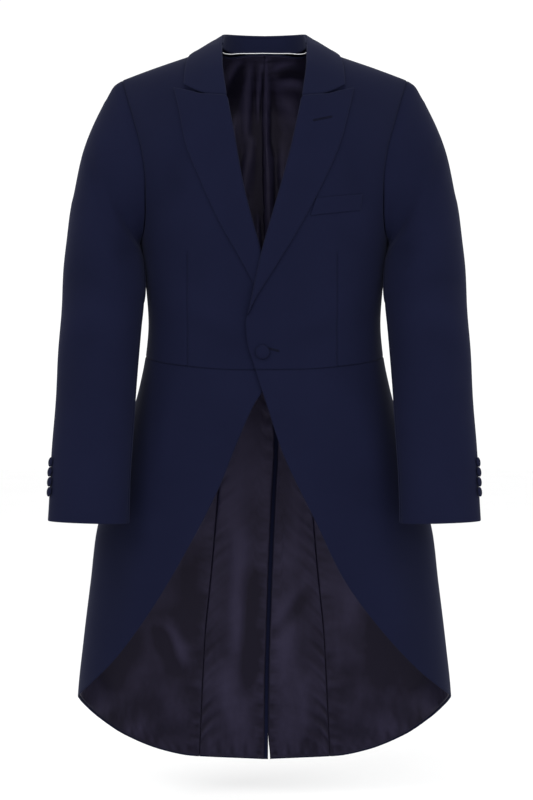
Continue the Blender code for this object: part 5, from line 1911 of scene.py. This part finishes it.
def on_skin(skin: Array, from_middle: float, height: float) -> Array:
    """Point of an outer skin at a place seen from the front."""
    flat = skin.reshape(-1, 3)
    away = np.hypot(flat[:, 0] - from_middle, flat[:, 2] - height)
    near = np.argsort(away)[:4]
    weight = 1.0 / (away[near] + 1e-6)
    depth = float(np.sum(flat[near, 1] * weight) / np.sum(weight))
    return np.array((from_middle, depth, height))


@dataclass(frozen=True)
class Buttonhole:
    """Worked buttonhole: two close rows of purl stitches and a bar at each end."""

    start: Span
    end: Span
    half_width: float = 0.85 * MM
    proud: float = 0.12 * MM
    thread: Stitches = Stitches(0.55 * MM, 1.7 * MM, 0.30 * MM, across=True, seed=9, uneven=0.10)

    def sew(self, name: str, skin: Array, finish: Material) -> None:
        """Sews it on an outer skin."""
        start, end = np.array(self.start), np.array(self.end)
        run = (end - start) / np.linalg.norm(end - start)
        side = np.array((-run[1], run[0])) * self.half_width
        shares, turns = np.linspace(0.0, 1.0, 14), np.linspace(0.0, math.pi, 8)[1:]
        corners = [start + (end - start) * share + side for share in shares]
        corners += [end + side * math.cos(turn) + run * self.half_width * math.sin(turn)
                    for turn in turns[:-1]]
        corners += [start + (end - start) * share - side for share in shares[::-1]]
        corners += [start - side * math.cos(turn) - run * self.half_width * math.sin(turn)
                    for turn in turns]
        path = np.array([on_skin(skin, *corner) for corner in corners])
        first, last = path[0], path[13]
        facing = np.cross(last - first, path[-9] - first)
        facing = facing / np.linalg.norm(facing)
        facing = facing * (-1.0 if facing[1] > 0.0 else 1.0)
        self.thread.sew(name, path + facing * self.proud, facing, finish)


CUTS = {
    "front": FlatCut(0.24, 0.54, 0.0870),
    "sidebody": FlatCut(0.17, 0.28, 0.0290),
    "skirt": FlatCut(0.60, 0.61, 0.2140),
    "back": FlatCut(0.25, 1.12, 0.1180),
    "sleeve_top": FlatCut(0.32, 0.68, 0.1150),
    "sleeve_under": FlatCut(0.21, 0.61, 0.0740),
    "lapel": FlatCut(0.11, 0.35, 0.0200),
    "collar_fall": FlatCut(0.55, 0.09, 0.0330),
    "collar_stand": FlatCut(0.30, 0.036, 0.0065),
    "breast_welt": FlatCut(0.075, 0.025, 0.0016),
    "lining_back": FlatCut(0.25, 1.12, 0.1180),
    "lining_skirt": FlatCut(0.60, 0.61, 0.2090),
}


@dataclass
class Studio:
    """Pale floor, soft light and the camera of the photograph."""

    floor_height: float = -1.105
    floor_reach: float = 14.0
    floor_tone: Tone = (0.93, 0.93, 0.93)
    sky: float = 1.07
    camera_at: tuple[float, float, float] = (0.0029, -2.72, -0.495)
    lens: float = 85.0

    def floor(self) -> None:
        """Wide pale floor with a faint mottle."""
        shape = bmesh.new()
        bmesh.ops.create_grid(shape, x_segments=8, y_segments=8, size=self.floor_reach)
        for corner in shape.verts:
            corner.co.z = self.floor_height
        mesh = bpy.data.meshes.new("floor")
        shape.to_mesh(mesh)
        shape.free()
        shading = Shading("pale_floor")
        shading.constant(Roughness=0.9, Specular_IOR_Level=0.1)
        shading.tones(shading.noise(3.0), tuple(tone * 0.99 for tone in self.floor_tone),
                      self.floor_tone)
        mesh.materials.append(shading.material)
        floor = placed("floor", mesh)

    def soft_light(self, name: str, place: Sequence[float], target: Sequence[float],
                   size: float, power: float) -> None:
        """Square soft light aimed at a point.

        Args:
            name: Its name.
            place: Where it is.
            target: What it lights.
            size: Side of the square.
            power: Power in watts.
        """
        lamp = bpy.data.lights.new(name, "AREA")
        lamp.size = size
        lamp.energy = power
        made = placed(name, lamp)
        made.location = place
        made.rotation_mode = "QUATERNION"
        way = Vector(target) - Vector(place)
        made.rotation_quaternion = way.to_track_quat("-Z", "Y")

    def world(self) -> None:
        """Even white surroundings."""
        world = bpy.data.worlds.new("studio")
        world.use_nodes = True
        background = world.node_tree.nodes["Background"]
        background.inputs["Color"].default_value = (1.0, 1.0, 1.0, 1.0)
        background.inputs["Strength"].default_value = self.sky
        bpy.context.scene.world = world

    def camera(self) -> None:
        """Level camera in front of the coat."""
        lens = bpy.data.cameras.new("camera")
        lens.lens = self.lens
        lens.sensor_width = 36.0
        made = placed("camera", lens)
        made.location = self.camera_at
        made.rotation_euler = (math.radians(90.0), 0.0, 0.0)
        bpy.context.scene.camera = made

    def build(self) -> None:
        """Builds the studio."""
        self.floor()
        self.world()
        self.camera()
        middle = (0.0, 0.0, -0.45)
        self.soft_light("key", (-1.6, -2.6, 1.3), middle, 1.6, 46.0)
        self.soft_light("fill", (1.9, -2.3, 0.6), middle, 1.8, 30.0)
        self.soft_light("front", (0.0, -3.2, 0.2), (0.0, 0.0, -0.2), 1.2, 22.0)
        bpy.context.scene.view_settings.view_transform = "Standard"


@dataclass
class Coat:
    """The whole coat."""

    panels: BodyPanels = BodyPanels()
    sleeve: Sleeve = Sleeve()
    lapel: Lapel = Lapel()
    collar: Collar = Collar()
    welt: Welt = Welt()
    front_button: CoveredButton = CoveredButton(19.0 * MM, 6.0 * MM)
    cuff_button: CoveredButton = CoveredButton(13.5 * MM, 5.0 * MM, segments=32)
    front_button_at: Span = (-0.0025, -0.4289)
    cuff_count: int = 4
    cuff_from_hem: float = 0.041
    cuff_pitch: float = 14.0 * MM
    cuff_turn: float = 18.0
    cuff_span: float = 0.1
    pick: Stitches = Stitches(5.0 * MM, 1.5 * MM, 0.22 * MM)
    pick_column: int = -5
    front_hole: Buttonhole = Buttonhole((0.0065, -0.4240), (0.0195, -0.4275))
    lapel_hole: Buttonhole = Buttonhole((0.0679, -0.1102), (0.0926, -0.1040))

    def cuff_buttons(self, hand: Hand, finish: Material) -> None:
        """Row of covered buttons at one cuff."""
        ends = self.sleeve.point(np.array((1.0, 1.0 - self.cuff_span)), np.zeros(2))
        run = float(np.linalg.norm(ends[0] - ends[1]))
        for number in range(self.cuff_count):
            distance = self.cuff_from_hem + self.cuff_pitch * number
            fall = np.array(1.0 - self.cuff_span * distance / run)
            outward = mirrored(self.sleeve.normal(fall, np.array(self.cuff_turn)), hand)
            self.cuff_button.build(f"cuff_button_{hand.word}_{number + 1}",
                                   Vector(outward), finish)

    def build(self) -> None:
        """Builds and dresses every piece."""
        navy = ((0.0020, 0.0028, 0.0118), (0.0036, 0.0046, 0.0170))
        cloth = Worsted("navy_worsted", *navy).make()
        collar_cloth = Worsted("collar_worsted", (0.0024, 0.0033, 0.0128),
                               (0.0040, 0.0052, 0.0182)).make()
        satin = Satin("lining_satin", (0.0022, 0.0018, 0.0060), (0.0210, 0.0185, 0.0400)).make()
        button_cloth = Worsted("button_worsted", *navy, twill=0.6 * MM).make()
        thread = SewingThread("navy_thread", (0.0012, 0.0016, 0.0070),
                              (0.0024, 0.0030, 0.0110)).make()
        lining = Lining(self.panels)
        fronts, lapels = {}, {}
        for hand in Hand:
            fronts[hand] = self.panels.build(hand, cloth)
            self.sleeve.build(hand, cloth)
            lining.build(hand, satin)
            lapels[hand] = self.lapel.build(hand, cloth)
            self.cuff_buttons(hand, button_cloth)
        self.collar.build(collar_cloth, Cord().make())
        self.welt.build(cloth)
        place = np.array(self.front_button_at)
        angle = FORM.angle_of(place[0], place[1])
        outward = FORM.normal(FORM.point(angle, place[1]))
        self.front_button.build("front_button", Vector(outward), button_cloth)
        for hand in Hand:
            self.pick.sew(f"lapel_pick_{hand.word}", lapels[hand][:, self.pick_column],
                          np.array((0.0, -1.0, 0.0)), thread)
        self.lapel_hole.sew("lapel_buttonhole", lapels[Hand.LEFT], thread)
        self.front_hole.sew("front_buttonhole", fronts[Hand.LEFT], thread)


def main() -> None:
    """Builds the studio and the coat."""
    logging.basicConfig(level=logging.INFO, format="%(message)s")
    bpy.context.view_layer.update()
    Studio().build()
    Coat().build()


if __name__ == "__main__":
    main()
